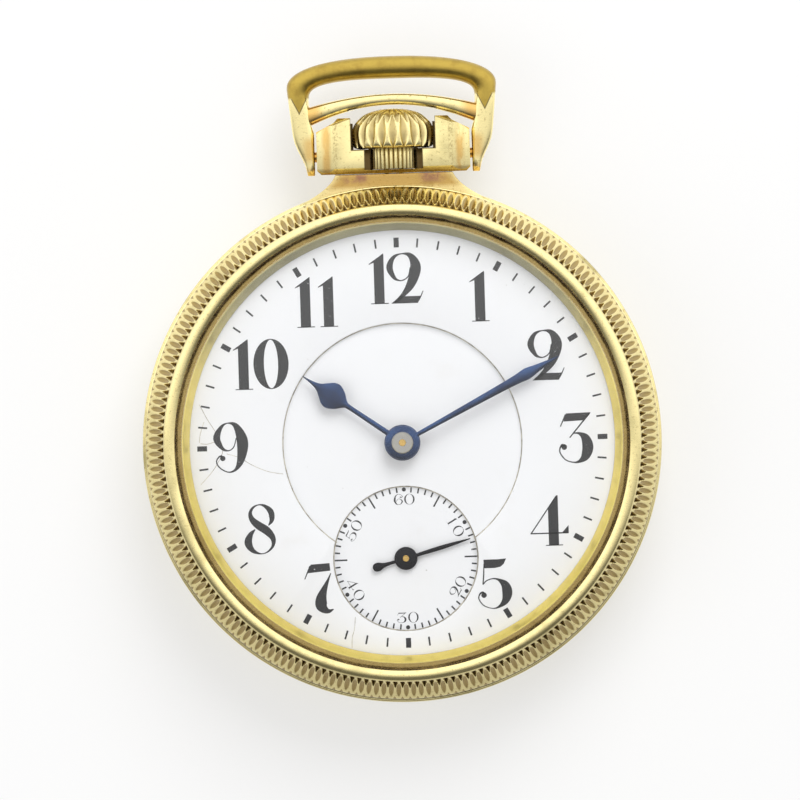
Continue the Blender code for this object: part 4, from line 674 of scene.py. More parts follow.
def rounded(points, cut, parts=3):
    """A closed figure with each corner cut back and rounded."""
    figure = []
    for before, here, after in zip(points[-1:] + points[:-1], points, points[1:] + points[:1]):
        corner = Vector(here)
        arms = [Vector(before) - corner, Vector(after) - corner]
        start, end = (corner + arm.normalized() * min(cut, arm.length * 0.45) for arm in arms)
        for i in range(parts + 1):
            t = i / parts
            figure.append(tuple(start * (1 - t) ** 2 + corner * 2 * t * (1 - t) + end * t**2))
    return figure


def ring_points(radius, steps, center=(0.0, 0.0)):
    return [
        (center[0] + radius * math.cos(TURN * i / steps), center[1] + radius * math.sin(TURN * i / steps))
        for i in range(steps)
    ]


def thicken(bm, faces, drop):
    """Gives flat faces a depth below them."""
    grown = bmesh.ops.extrude_face_region(bm, geom=faces, use_keep_orig=True)["geom"]
    lowered = [g for g in grown if isinstance(g, bmesh.types.BMVert)]
    bmesh.ops.translate(bm, verts=lowered, vec=(0.0, 0.0, -drop))
    bmesh.ops.recalc_face_normals(bm, faces=bm.faces)
    return bm


def thicken_flat(bm, low):
    """Gives a crowned surface a flat underside at this height."""
    grown = bmesh.ops.extrude_face_region(bm, geom=list(bm.faces), use_keep_orig=True)["geom"]
    for vert in (g for g in grown if isinstance(g, bmesh.types.BMVert)):
        vert.co.z = low
    bmesh.ops.recalc_face_normals(bm, faces=bm.faces)


def plate(loops, low, high):
    """A flat plate from an outline and its holes."""
    bm = bmesh.new()
    edges = []
    for loop in loops:
        edges += chain(bm, [(x, y, high) for x, y in loop], True)[1]
    bmesh.ops.triangle_fill(bm, use_beauty=True, use_dissolve=False, edges=edges, normal=UP)
    return thicken(bm, list(bm.faces), high - low)


def soften(bm, width, least=30.0):
    """Rounds every edge that is sharper than the least angle in degrees."""
    sharp = [e for e in bm.edges if len(e.link_faces) == 2 and e.calc_face_angle() > math.radians(least)]
    bmesh.ops.bevel(
        bm,
        geom=sharp,
        offset=width,
        offset_type="OFFSET",
        affect="EDGES",
        segments=3,
        profile=0.5,
        material=-1,
        clamp_overlap=True,
    )
    return bm


def copied(node):
    """A merged copy of a CAD node's mesh, in millimetres."""
    bm = bmesh.new()
    bm.from_mesh(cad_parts[node].data)
    bmesh.ops.scale(bm, vec=(1 / MM,) * 3, verts=bm.verts)
    bmesh.ops.remove_doubles(bm, verts=bm.verts, dist=1e-3)
    bmesh.ops.dissolve_limit(bm, angle_limit=math.radians(1.0), verts=bm.verts, edges=bm.edges)
    return bm


def cut_away(bm, tool):
    """A closed mesh less another one."""
    objects = []
    for part in (bm, tool):
        mesh = bpy.data.meshes.new("part")
        part.to_mesh(mesh)
        part.free()
        objects.append(bpy.data.objects.new("part", mesh))
        bpy.context.scene.collection.objects.link(objects[-1])
    cut = objects[0].modifiers.new("cut", "BOOLEAN")
    cut.operation = "DIFFERENCE"
    cut.solver = "EXACT"
    cut.object = objects[1]
    result = bmesh.new()
    result.from_object(objects[0], bpy.context.evaluated_depsgraph_get())
    for made in objects:
        bpy.data.objects.remove(made)
    return result


def rod(start, end, radius, steps, lay):
    """A cylinder along Z, laid in its place."""
    bm = bmesh.new()
    middle = Matrix.Translation((0.0, 0.0, (start + end) / 2))
    bmesh.ops.create_cone(
        bm,
        cap_ends=True,
        segments=steps,
        radius1=radius,
        radius2=radius,
        depth=abs(end - start),
        matrix=lay @ middle,
    )
    return bm


def piece(name, bm, finish, body, nodes=(), flat=32.0, move=None):
    """Makes the finished object, lays it in the frame and lets it ride on a body."""
    if move is not None:
        bmesh.ops.transform(bm, matrix=move, verts=bm.verts)
    bmesh.ops.scale(bm, vec=(MM,) * 3, verts=bm.verts)
    mesh = bpy.data.meshes.new(name)
    bm.to_mesh(mesh)
    bm.free()
    mesh.polygons.foreach_set("use_smooth", [True] * len(mesh.polygons))
    mesh.set_sharp_from_angle(angle=math.radians(flat))
    mesh.materials.append(finish)
    made = bpy.data.objects.new(name, mesh)
    bpy.context.scene.collection.objects.link(made)
    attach(made, body)
    if nodes:
        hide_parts(*nodes)


def scoop(phase, width):
    """Depth share across a rounded cut of this half width, both as shares of half a pitch."""
    return max(0.0, 1 - (phase / width) ** 2) if width > 1e-3 else 0.0


def lens(t, start, span, width, power):
    """Half width of a cut that is pointed at both ends, at a share t of the run that it lies on."""
    share = (t - start) / span
    return width * math.sin(math.pi * share) ** power if 0 < share < 1 else 0.0


def phase_at(vert, count):
    """Place across one of a ring of cuts, from -1 to 1."""
    turns = math.atan2(vert.co.y, vert.co.x) / TURN * count
    return 2 * (turns - math.floor(turns)) - 1


def keep_cut(bm, depths):
    """Keeps the depth of the cuts, by vertex number, for the finish, which darkens them by it with painted shade
    and dirty colour.
    """
    layer = bm.verts.layers.float.new("cut")
    bm.verts.ensure_lookup_table()
    for index, depth in depths.items():
        bm.verts[index][layer] = depth


# Case
class WATCH_OT_case_band(bpy.types.Operator):
    """Makes the middle of the case with its beaded edge and the neck for the pendant"""

    bl_idname = "watch.case_band"
    bl_label = "Case band and neck"

    steps = 256
    corner = 0.07
    neck_parts = 12
    neck_low, neck_high = 3.9, 7.1
    neck_foot, neck_top = 23.0, 26.2
    neck_half, neck_spread = 5.7, 4.05
    neck_drop = 3.05

    def execute(self, context):
        sizes = context.scene.watch_case
        step = sizes.bead_step / MM
        edge = [
            (23.2, 3.8),
            (24.95, 3.8),
            (25.25, 4.1),
            (25.25, 6.66),
            (25.2, 6.84),
            (25.15, 6.92),
            (25.09, 6.93),
            (25.09, 6.93 + step),
            (25.03, 7.08 + step),
            (24.9, 7.2),
            (23.2, 7.2),
        ]
        inside = [
            (23.2, 8.975),
            (20.625, 8.975),
            (20.625, 6.85),
            (20.025, 6.85),
            (20.025, 6.05),
            (21.4, 6.05),
            (21.4, 2.95),
            (23.2, 2.95),
        ]
        band = spun(rounded(edge + inside, self.corner), self.steps)
        gold = polished_gold("gold_band", 0.16)
        shares = [i / self.neck_parts for i in range(self.neck_parts, -1, -1)]
        side = [
            (self.neck_half + self.neck_spread * (0.3 * s + 0.7 * s * s), self.neck_top - self.neck_drop * s)
            for s in shares
        ]
        outline = [(self.neck_half + self.neck_spread, self.neck_foot), *side]
        outline += [(-x, y) for x, y in reversed(outline)]
        neck = soften(plate([outline], self.neck_low, self.neck_high), sizes.neck_edge / MM)
        neck = cut_away(neck, rod(20.0, 28.0, STEM_BORE, 32, ALONG_STEM))
        band = cut_away(band, rod(18.0, 25.5, STEM_BORE, 32, ALONG_STEM))
        piece("case_band", band, gold, "case", ["case_center"])
        piece("case_neck", neck, neck_gold("gold_neck"), "case", ["case_center"])
        return {"FINISHED"}


class WATCH_OT_bezel(bpy.types.Operator):
    """Makes the bezel with its polished ring and milled edge"""

    bl_idname = "watch.bezel"
    bl_label = "Bezel"

    rows = 14
    columns = 8
    band_start = Vector((23.22, 11.6))
    band_end = Vector((24.87, 8.9))
    lens_width = 0.8
    groove = (21.7, 22.1)
    groove_floor = 11.1

    def execute(self, context):
        sizes = context.scene.watch_case
        crest = smoothed(
            [
                (21.9, 11.4), (21.98, 11.8), (22.14, 12.05), (22.4, 12.19),
                (22.75, 12.2), (23.05, 12.08), (23.18, 11.86),
            ],
            3,
        )
        band = [tuple(self.band_start.lerp(self.band_end, i / self.rows)) for i in range(self.rows + 1)]
        foot = [
            (24.9, 8.7), (24.9, 7.35), (24.8, 7.25), (23.3, 7.25),
            (23.3, 9.075), (21.55, 9.075), (21.55, 9.7),
        ]
        seat = [(20.65, 9.7), (20.8, 10.25), (21.05, 10.8), (21.3, 11.2), (21.88, 11.2)]
        bm = spun(crest + band + foot + seat, sizes.flutes * self.columns)
        self.mill(bm, sizes)
        piece("bezel_milled", bm, bezel_gold("gold_milled"), "bezel", ["bezel"], 48.0)
        return {"FINISHED"}

    def mill(self, bm, sizes):
        """Cuts the lens-shaped flutes and the small notches between their ends, and marks the groove by the
        crystal for painted shade.
        """
        slope = self.band_end - self.band_start
        normal = Vector((-slope.y, slope.x)).normalized()
        depths = {}
        for index, vert in enumerate(bm.verts):
            flat = Vector((vert.co.xy.length, vert.co.z))
            # The groove by the crystal is marked at full depth, so that the finish paints shade in it.
            if self.groove[0] < flat.x < self.groove[1] and flat.y > self.groove_floor:
                depths[index] = 1.0
            t = (flat - self.band_start).dot(slope) / slope.length_squared
            if abs((flat - self.band_start).dot(normal)) > 0.02 or not 0 < t < 1:
                continue
            phase = phase_at(vert, sizes.flutes)
            width = lens(t, 0.1, 0.82, self.lens_width, 0.6)
            bowl = scoop(phase, width) * width / self.lens_width
            ends = max(0.85 * (1 - t / 0.34), 0.5 * (t - 0.86) / 0.14)
            nick = min(1.0, max(0.0, 2 - 2 * (1 - abs(phase)) / ends)) if ends > 1e-3 else 0.0
            sunk = flat - normal * (bowl * sizes.flute_depth + nick * sizes.notch_depth * (1 - t)) / MM
            vert.co.xy = vert.co.xy.normalized() * sunk.x
            vert.co.z = sunk.y
            depths[index] = max(bowl * 0.7, nick * (1.25 - t * 0.6))
        keep_cut(bm, depths)


class WATCH_OT_crystal(bpy.types.Operator):
    """Makes the domed crystal"""

    bl_idname = "watch.crystal"
    bl_label = "Crystal"

    steps = 24
    edge = 21.85
    outer_reach, outer_top, outer_drop = 21.2, 13.35, 1.5
    inner_reach, inner_top, inner_drop = 20.95, 12.45, 1.2

    def execute(self, context):
        shares = [i / self.steps for i in range(self.steps + 1)]
        bend = self.outer_reach / self.edge
        outer = [(self.outer_reach * s, self.outer_top - self.outer_drop * (bend * s) ** 2) for s in shares]
        outer += [(21.55, 11.74), (21.76, 11.56)]
        inner = [(self.inner_reach * s, self.inner_top - self.inner_drop * s**2) for s in shares]
        rim = [(21.78, 11.25), (self.edge, 11.32)]
        bm = spun(inner + rim + outer[::-1], 160, closed=False)
        piece("crystal_dome", bm, glass("crystal_clear"), "bezel", ["crystal"])
        return {"FINISHED"}


class WATCH_OT_case_back(bpy.types.Operator):
    """Makes the domed back of the case"""

    bl_idname = "watch.case_back"
    bl_label = "Case back"

    steps = 20
    flat = 11.0
    reach = 13.5
    rise = 2.75
    wall = 0.6
    inside = 23.2

    def execute(self, context):
        shares = [i / self.steps for i in range(self.steps + 1)]
        dome = [(self.flat + self.reach * s, self.rise * s**2) for s in shares]
        rim = [(24.78, 2.95), (24.9, 3.2), (24.9, 3.66), (24.82, 3.75), (23.3, 3.75), (23.3, 2.9)]
        inner = [(r, z + self.wall) for r, z in reversed(dome) if r < self.inside]
        bm = spun([(0.0, 0.0), *dome, *rim, *inner, (0.0, self.wall)], 192, closed=False)
        piece("back_dome", bm, polished_gold("gold_back", 0.18, 0.8), "back", ["case_back"])
        return {"FINISHED"}


# Pendant, bow and crown
class WATCH_OT_pendant(bpy.types.Operator):
    """Makes the pendant fork, with dark blocks that stand in for the shade in its gaps, and the ribbed sleeve
    under the crown
    """

    bl_idname = "watch.pendant"
    bl_label = "Pendant and sleeve"

    # Blocks that fill the gaps beside the crown and the sleeve; the finish paints them dark, as painted shade.
    shade_blocks = ((3.87, 4.2, 28.5, 31.2), (2.05, 2.4, 26.5, 28.7))
    shade_block_middle = 3.95
    shade_block_height = 0.9
    columns = 8
    sleeve_radius = 2.2
    sleeve_low, sleeve_high = 26.65, 28.63

    def execute(self, context):
        sizes = context.scene.watch_pendant
        fork = soften(copied("pendant"), sizes.pendant_edge / MM, 28.0)
        # Dark blocks as painted shade in the gaps.
        for near, far, low, high in self.shade_blocks:
            for sign in (-1, 1):
                shade_block = Matrix.Translation((sign * (near + far) / 2, (low + high) / 2, self.shade_block_middle))
                shade_block = shade_block @ Matrix.Diagonal((far - near, high - low, self.shade_block_height, 1.0))
                bmesh.ops.create_cube(fork, size=1.0, matrix=shade_block)
        gold = pendant_gold("gold_pendant")
        piece("pendant_fork", fork, gold, "case", ["pendant"], 40.0)
        corners = [
            (STEM_BORE, self.sleeve_low), (self.sleeve_radius, self.sleeve_low),
            (self.sleeve_radius, self.sleeve_high), (STEM_BORE, self.sleeve_high),
        ]
        sleeve = spun(rounded(corners, 0.05, 2), sizes.sleeve_ribs * self.columns)
        depths = {}
        for index, vert in enumerate(sleeve.verts):
            radius = vert.co.xy.length
            if radius > (STEM_BORE + self.sleeve_radius) / 2:
                sunk = abs(phase_at(vert, sizes.sleeve_ribs)) ** 1.5
                vert.co.xy *= 1 - sunk * sizes.sleeve_depth / MM / radius
                depths[index] = sunk
        keep_cut(sleeve, depths)
        # The grooves between the ribs get painted shade and dirty colour by their depth.
        ribbed = cut_gold("gold_ribbed", 0.22)
        piece("sleeve_ribbed", sleeve, ribbed, "case", ["pendant_sleeve"], 50.0, ALONG_STEM)
        return {"FINISHED"}


class WATCH_OT_bow(bpy.types.Operator):
    """Makes the bow: a round bar that flattens into two legs, with a crossbar between them"""

    bl_idname = "watch.bow"
    bl_label = "Bow"

    points = 28
    arcs = 40
    half_depth = 1.3
    outer_corner = (10.2, 34.7)
    inner_corner = (8.05, 33.6)
    outer_rise, inner_rise = 2.95, 1.85
    outer_power, inner_power = 2 / 2.3, 2 / 3.0
    foot = 26.2
    pin_hole = 0.55
    bar_points = 20
    bar_parts = 24
    bar_half = 8.2
    bar_depth = 1.2
    bar_squareness = 2 / 0.6

    def section(self, outer, inner, squareness, depth, points):
        """One closed row of points between an outer and an inner point of the outline."""
        middle = (outer + inner) / 2
        arm = (outer - inner) / 2
        row = []
        for i in range(points):
            turn = TURN * (i + 0.5) / points
            reach, rise = (
                math.copysign(abs(part) ** (2 / squareness), part) for part in (math.cos(turn), math.sin(turn))
            )
            flat = middle + arm * reach
            row.append((flat.x, flat.y, STEM_Z + rise * depth))
        return row

    def arch(self, turn, corner, rise, power):
        """A point on the squared arch that starts at a corner."""
        return Vector((corner[0] * math.cos(turn) ** power, corner[1] + rise * math.sin(turn) ** power))

    def outline(self):
        """Outer and inner points of the bow from the right foot round to the left foot."""
        outer = smoothed([(8.4, self.foot), (8.7, 27.4), (9.6, 29.4), (9.9, 31.6), self.outer_corner], 3)
        inner = smoothed([(7.65, self.foot), (7.65, 28.6), (7.66, 30.4), (7.95, 31.5), self.inner_corner], 3)
        rows = [(Vector(o), Vector(i)) for o, i in zip(outer, inner)]
        for i in range(1, self.arcs // 2 + 1):
            turn = math.pi * i / self.arcs
            rows.append((
                self.arch(turn, self.outer_corner, self.outer_rise, self.outer_power),
                self.arch(turn, self.inner_corner, self.inner_rise, self.inner_power),
            ))
        return rows + [(Vector((-o.x, o.y)), Vector((-i.x, i.y))) for o, i in reversed(rows[:-1])]

    def execute(self, context):
        sizes = context.scene.watch_pendant
        sections = []
        for outer, inner in self.outline():
            level = (outer.y + inner.y) / 2
            flatness = min(1.0, max(0.0, (34.2 - level) / 1.8))
            squareness = sizes.tube_squareness + (sizes.leg_squareness - sizes.tube_squareness) * flatness
            depth = self.half_depth * min(1.0, 0.7 + max(0.0, level - self.foot) / 1.5)
            sections.append(self.section(outer, inner, squareness, depth, self.points))
        frame_bm = tidy(loft(bmesh.new(), sections, True, capped=True))
        across_pins = Matrix.Translation((0.0, PIVOT_Y, STEM_Z)) @ Matrix.Rotation(TURN / 4, 4, "Y")
        frame_bm = cut_away(frame_bm, rod(-12.0, 12.0, self.pin_hole, 24, across_pins))
        piece("bow_frame", frame_bm, bow_gold("gold_bow"), "bow", ["bow"], 40.0)
        bars = []
        for i in range(self.bar_parts + 1):
            x = self.bar_half * (2 * i / self.bar_parts - 1)
            top = Vector((x, 34.0 - 1.12 * (x / 8.05) ** 2))
            low = Vector((x, 32.88 - 1.7 * (x / 7.65) ** 2))
            bars.append(self.section(top, low, self.bar_squareness, self.bar_depth, self.bar_points))
        bar = tidy(loft(bmesh.new(), bars, True, capped=True))
        piece("bow_crossbar", bar, crossbar_gold("gold_crossbar"), "bow", ["bow"], 40.0)
        return {"FINISHED"}


class WATCH_OT_crown(bpy.types.Operator):
    """Makes the crown with its leaf-shaped cuts"""

    bl_idname = "watch.crown"
    bl_label = "Crown"

    base = 28.65
    height = 3.9
    reach = 3.95
    columns = 16
    bore = 1.03
    bore_depth = 1.9

    def execute(self, context):
        sizes = context.scene.watch_pendant
        shape = [
            (0.86, 0.0), (0.95, 0.03), (0.99, 0.1), (1.0, 0.22), (1.0, 0.42), (0.95, 0.6),
            (0.84, 0.75), (0.64, 0.88), (0.36, 0.965), (0.12, 0.995), (0.0, 1.0),
        ]
        skin = [(self.reach * r, self.base + self.height * h) for r, h in smoothed(shape, 3)]
        bottom = self.base + self.bore_depth
        profile = [(0.0, bottom), (self.bore, bottom), (self.bore, self.base), *skin]
        bm = spun(profile, sizes.crown_flutes * self.columns, closed=False)
        depths = {}
        for index, vert in enumerate(bm.verts):
            radius = vert.co.xy.length
            t = (vert.co.z - self.base) / self.height
            if radius < 1.1 and t < 0.9 or t <= 0.0 or radius < 0.05:
                continue
            phase = phase_at(vert, sizes.crown_flutes)
            leaf = lens(t, 0.03, 0.78, 0.9, 0.6)
            arch = lens(t, 0.62, 0.37, 0.85, 0.7)
            bowl = scoop(phase, leaf)
            upper = scoop(1 - abs(phase), arch) * 0.7
            sunk = max(bowl, upper)
            steep = math.sin(math.pi / 2 * min(1.0, radius / self.reach / 0.95))
            depth = sunk * sizes.crown_depth / MM
            vert.co.xy *= 1 - depth * steep / radius
            vert.co.z -= depth * (1 - steep)
            depths[index] = sunk * 0.85
        keep_cut(bm, depths)
        # The cuts get painted shade by their depth, and a little dirty colour.
        fluted = cut_gold("gold_crown", 0.2, 0.35)
        piece("crown_fluted", bm, fluted, "crown", ["crown"], 50.0, ALONG_STEM)
        return {"FINISHED"}


# Dial
DIAL_TOP = 9.6
SUNK_TOP = 9.15
SMALL_TOP = 8.8
SINK_RADIUS = 11.65
SMALL_RADIUS = 7.06


def sink_radius(turn, ring):
    """Where a ray from the dial centre leaves the joined sunk discs."""
    ahead = -math.sin(turn) * abs(SECONDS_Y)
    inside = SMALL_RADIUS**2 - (SECONDS_Y * math.cos(turn)) ** 2
    far = ahead + math.sqrt(inside) if inside > 0 else 0.0
    return max(ring, far)


class WATCH_OT_dial(bpy.types.Operator):
    """Makes the enamel dial: outer ring, sunk centre and sunk seconds disc"""

    bl_idname = "watch.dial"
    bl_label = "Dial"

    rim = 21.1
    thick = 0.4
    thin = 0.3
    lap = 0.3
    steps = 360

    def execute(self, context):
        sizes = context.scene.watch_dial
        white = enamel("enamel_white")
        bm = bmesh.new()
        edges = []
        turns = [TURN * i / self.steps for i in range(self.steps)]
        for radii in ([self.rim for t in turns], [sink_radius(t, SINK_RADIUS) for t in turns]):
            loop = [(r * math.cos(t), r * math.sin(t), DIAL_TOP) for r, t in zip(radii, turns)]
            edges += chain(bm, loop, True)[1]
        faces = bmesh.ops.bridge_loops(bm, edges=edges)["faces"]
        thicken(bm, faces, self.thick)
        soften(bm, sizes.sink_edge / MM, 60.0)
        piece("dial_outer", bm, white, "case", ["dial_ring"])
        reach = SINK_RADIUS + self.lap
        half = math.acos((reach**2 + SECONDS_Y**2 - SMALL_RADIUS**2) / (2 * reach * abs(SECONDS_Y)))
        ends = (-TURN / 4 + half, TURN * 3 / 4 - half)
        outline = [
            (reach * math.cos(t), reach * math.sin(t))
            for t in (ends[0] + (ends[1] - ends[0]) * i / 200 for i in range(201))
        ]
        corner = math.atan2(outline[0][1] - SECONDS_Y, outline[0][0])
        for i in range(1, 120):
            t = math.pi - corner + (2 * corner - math.pi) * i / 120
            outline.append((SMALL_RADIUS * math.cos(t), SECONDS_Y + SMALL_RADIUS * math.sin(t)))
        hole = ring_points(1.25, 32)
        sunk = plate([outline, hole], SUNK_TOP - self.thin, SUNK_TOP)
        piece("dial_sunk", sunk, white, "case", ["dial_center"])
        center = (0.0, SECONDS_Y)
        loops = [ring_points(SMALL_RADIUS + self.lap, 160, center), ring_points(0.35, 16, center)]
        small = plate(loops, SMALL_TOP - self.thin, SMALL_TOP)
        piece("dial_small", small, white, "case", ["dial_seconds"])
        return {"FINISHED"}


# Numerals: flat plates as corners, strokes as points with half widths, balls as places with radii.
# One unit is the height of a numeral.
NUMERALS = {
    "1": {
        "plates": [
            [(-0.1, 0), (0.1, 0), (0.1, 1), (0.085, 1), (-0.195, 0.805), (-0.2, 0.785), (-0.1, 0.825)],
            [(-0.17, 0), (0.18, 0), (0.18, 0.018), (-0.17, 0.018)],
        ],
    },
    "2": {
        "strokes": [
            [
                (0.125, 0.71, 0.01), (0.09, 0.55, 0.011), (0.0, 0.47, 0.012), (-0.1, 0.458, 0.014),
                (-0.2, 0.52, 0.036), (-0.285, 0.72, 0.064), (-0.2, 0.92, 0.036), (-0.03, 0.988, 0.012),
                (0.14, 0.94, 0.055), (0.235, 0.72, 0.105), (0.15, 0.42, 0.09), (0.0, 0.2, 0.05),
                (-0.2, 0.02, 0.018),
            ],
            [(0.25, 0.02, 0.012), (0.31, 0.11, 0.012), (0.37, 0.24, 0.008)],
        ],
        "plates": [[(-0.27, 0), (0.26, 0), (0.32, 0.14), (-0.1, 0.14)]],
    },
    "3": {
        "plates": [[(-0.19, 0.99), (0.3, 1), (0.165, 0.845), (-0.245, 0.83)]],
        "strokes": [
            [(-0.2, 0.97, 0.014), (-0.31, 0.73, 0.01)],
            [(0.28, 0.985, 0.016), (-0.13, 0.505, 0.012)],
            [
                (-0.06, 0.592, 0.011), (0.06, 0.585, 0.026), (0.18, 0.49, 0.085), (0.225, 0.31, 0.11),
                (0.17, 0.13, 0.085), (0.06, 0.035, 0.035), (-0.06, 0.012, 0.013), (-0.22, 0.065, 0.012),
                (-0.32, 0.19, 0.012), (-0.335, 0.28, 0.013), (-0.29, 0.365, 0.018), (-0.235, 0.35, 0.02),
            ],
        ],
        "balls": [(-0.245, 0.322, 0.056)],
    },
    "4": {
        "plates": [
            [(-0.1, 0), (0.1, 0), (0.1, 1), (0.075, 1), (-0.1, 0.735)],
            [(0.17, 0.258), (0.3, 0.238), (0.3, 0.4)],
            [(-0.16, 0), (0.18, 0), (0.18, 0.018), (-0.16, 0.018)],
        ],
        "strokes": [
            [(0.07, 0.985, 0.012), (-0.45, 0.25, 0.012)],
            [(-0.46, 0.25, 0.012), (0.29, 0.25, 0.013)],
        ],
    },
    "5": {
        "plates": [
            [
                (-0.214, 0.983), (-0.209, 0.813), (0.01, 0.813), (0.12, 0.835), (0.19, 0.895), (0.236, 0.997),
                (0.1, 0.985),
            ],
        ],
        "strokes": [
            [(-0.207, 0.9, 0.009), (-0.22, 0.66, 0.013), (-0.238, 0.49, 0.011)],
            [
                (-0.238, 0.49, 0.011), (-0.165, 0.562, 0.011), (-0.04, 0.602, 0.012), (0.08, 0.575, 0.026),
                (0.203, 0.47, 0.082), (0.242, 0.32, 0.1), (0.2, 0.16, 0.072), (0.077, 0.044, 0.025),
                (-0.055, 0.01, 0.01), (-0.23, 0.071, 0.01), (-0.324, 0.2, 0.011), (-0.312, 0.29, 0.014),
                (-0.26, 0.335, 0.018), (-0.22, 0.32, 0.02),
            ],
        ],
        "balls": [(-0.223, 0.278, 0.054)],
    },
    "7": {
        "plates": [[(-0.16, 0.98), (0.215, 1), (0.228, 0.85), (-0.225, 0.81)]],
        "strokes": [
            [(-0.175, 0.95, 0.014), (-0.285, 0.69, 0.009)],
            [
                (0.235, 0.8, 0.008), (0.175, 0.66, 0.025), (0.095, 0.48, 0.06), (0.035, 0.31, 0.103),
                (0.03, 0.17, 0.117), (0.085, 0.085, 0.082), (0.175, 0.045, 0.042), (0.27, 0.08, 0.009),
            ],
        ],
    },
    "8": {
        "strokes": [
            [
                (0.165, 0.57, 0.008), (0.235, 0.68, 0.045), (0.22, 0.84, 0.058), (0.11, 0.955, 0.032),
                (-0.01, 0.988, 0.012), (-0.13, 0.935, 0.022), (-0.19, 0.82, 0.036), (-0.15, 0.69, 0.058),
                (-0.03, 0.575, 0.078), (0.13, 0.465, 0.08), (0.245, 0.32, 0.055), (0.245, 0.17, 0.03),
                (0.14, 0.05, 0.015), (0.0, 0.012, 0.012), (-0.16, 0.08, 0.045), (-0.245, 0.23, 0.076),
                (-0.2, 0.39, 0.052), (-0.1, 0.5, 0.009),
            ],
        ],
    },
    "9": {
        "strokes": [
            [
                (0.115, 0.69, 0.01), (0.06, 0.51, 0.011), (-0.045, 0.44, 0.012), (-0.17, 0.49, 0.034),
                (-0.275, 0.69, 0.07), (-0.18, 0.91, 0.034), (-0.04, 0.988, 0.012), (0.12, 0.92, 0.058),
                (0.235, 0.62, 0.112), (0.2, 0.28, 0.08), (0.095, 0.07, 0.03), (-0.055, 0.012, 0.012),
                (-0.22, 0.095, 0.012), (-0.292, 0.22, 0.012), (-0.24, 0.32, 0.015), (-0.175, 0.335, 0.02),
            ],
        ],
        "balls": [(-0.165, 0.288, 0.052)],
    },
    "0": {"rings": [(0.35, 0.5, 0.142, 0.482)]},
}
ADVANCE = {"10": 0.55, "11": 0.46, "12": 0.5}
HOURS = {
    "12": (-0.12, 15.99),
    "1": (7.91, 13.98),
    "2": (14.2, 8.11),
    "3": (16.86, -0.06),
    "4": (14.03, -8.01),
    "5": (8.56, -13.98),
    "7": (-8.54, -13.91),
    "8": (-14.1, -7.97),
    "9": (-16.66, 0.05),
    "10": (-13.49, 8.04),
    "11": (-7.93, 13.9),
}
CRACKS = [
    [
        (-19.6, 4.3), (-18.9, 2.9), (-18.2, 1.75), (-17.6, 0.6),
        (-17.45, -0.23), (-17.8, -1.1), (-18.5, -2.2), (-19.7, -3.5),
    ],
    [(-19.6, 0.5), (-18.9, 0.45), (-18.1, 0.68)],
    [(-19.2, 2.6), (-19.6, 1.4), (-19.7, 0.6)],
    [(-17.1, -0.56), (-15.9, -0.95), (-14.6, -1.75), (-13.1, -2.4), (-11.65, -2.68)],
    [(-5.1, -16.8), (-5.2, -17.9), (-5.45, -18.8), (-5.5, -19.8)],
]


def stroke(bm, points):
    """A flat ribbon along a smooth curve with a changing half width."""
    curve = smoothed(points, 6 if len(points) > 2 else 1)
    sides = [[], []]
    for i, (x, y, half) in enumerate(curve):
        before = Vector(curve[max(i - 1, 0)][:2])
        after = Vector(curve[min(i + 1, len(curve) - 1)][:2])
        along = (after - before).normalized()
        for side, sign in zip(sides, (1, -1)):
            reach = max(half, 0.004) * sign
            side.append((x - along.y * reach, y + along.x * reach, 0.0))
    loft(bm, sides, False)


def thinned(corners, weight):
    """A plate drawn in across its shorter side."""
    low = [min(corner[i] for corner in corners) for i in range(2)]
    high = [max(corner[i] for corner in corners) for i in range(2)]
    short = 0 if high[0] - low[0] < high[1] - low[1] else 1
    middle = (low[short] + high[short]) / 2
    return [
        tuple(middle + (value - middle) * weight if i == short else value for i, value in enumerate(corner))
        for corner in corners
    ]


def numeral(bm, text, place, height, level, turn=0.0, weight=1.0, stretch=1.0, advance=0.66):
    """Prints a number, centred on its place and turned clockwise."""
    before = set(bm.verts)
    for index, digit in enumerate(text):
        known = set(bm.verts)
        upside = digit == "6"
        drawing = NUMERALS["9" if upside else digit]
        for corners in drawing.get("plates", ()):
            bm.faces.new([bm.verts.new((x, y, 0.0)) for x, y in thinned(corners, weight)])
        for points in drawing.get("strokes", ()):
            stroke(bm, [(x, y, half * weight + (1 - weight) * 0.014) for x, y, half in points])
        for x, y, radius in drawing.get("balls", ()):
            bmesh.ops.create_circle(
                bm, cap_ends=True, segments=20, radius=radius, matrix=Matrix.Translation((x, y, 0.0))
            )
        for wide, tall, inner_wide, inner_tall in drawing.get("rings", ()):
            edges = []
            for across, rise in ((wide, tall), (wide - (wide - inner_wide) * weight, inner_tall)):
                loop = [(across * x, 0.5 + rise * y, 0.0) for x, y in ring_points(1.0, 48)]
                edges += chain(bm, loop, True)[1]
            bmesh.ops.bridge_loops(bm, edges=edges)
        fresh = [v for v in bm.verts if v not in known]
        if upside:
            half_turn = Matrix.Translation((0.0, 1.0, 0.0)) @ Matrix.Rotation(math.pi, 4, "Z")
            bmesh.ops.transform(bm, matrix=half_turn, verts=fresh)
        bmesh.ops.translate(bm, verts=fresh, vec=(index * advance, 0.0, 0.0))
    fresh = [v for v in bm.verts if v not in before]
    low = Vector(min(v.co[i] for v in fresh) for i in range(3))
    high = Vector(max(v.co[i] for v in fresh) for i in range(3))
    lay = Matrix.Translation((*place, level)) @ Matrix.Rotation(-turn, 4, "Z")
    lay = lay @ Matrix.Diagonal((height * stretch, height, height, 1.0))
    bmesh.ops.transform(bm, matrix=lay @ Matrix.Translation(-(low + high) / 2), verts=fresh)


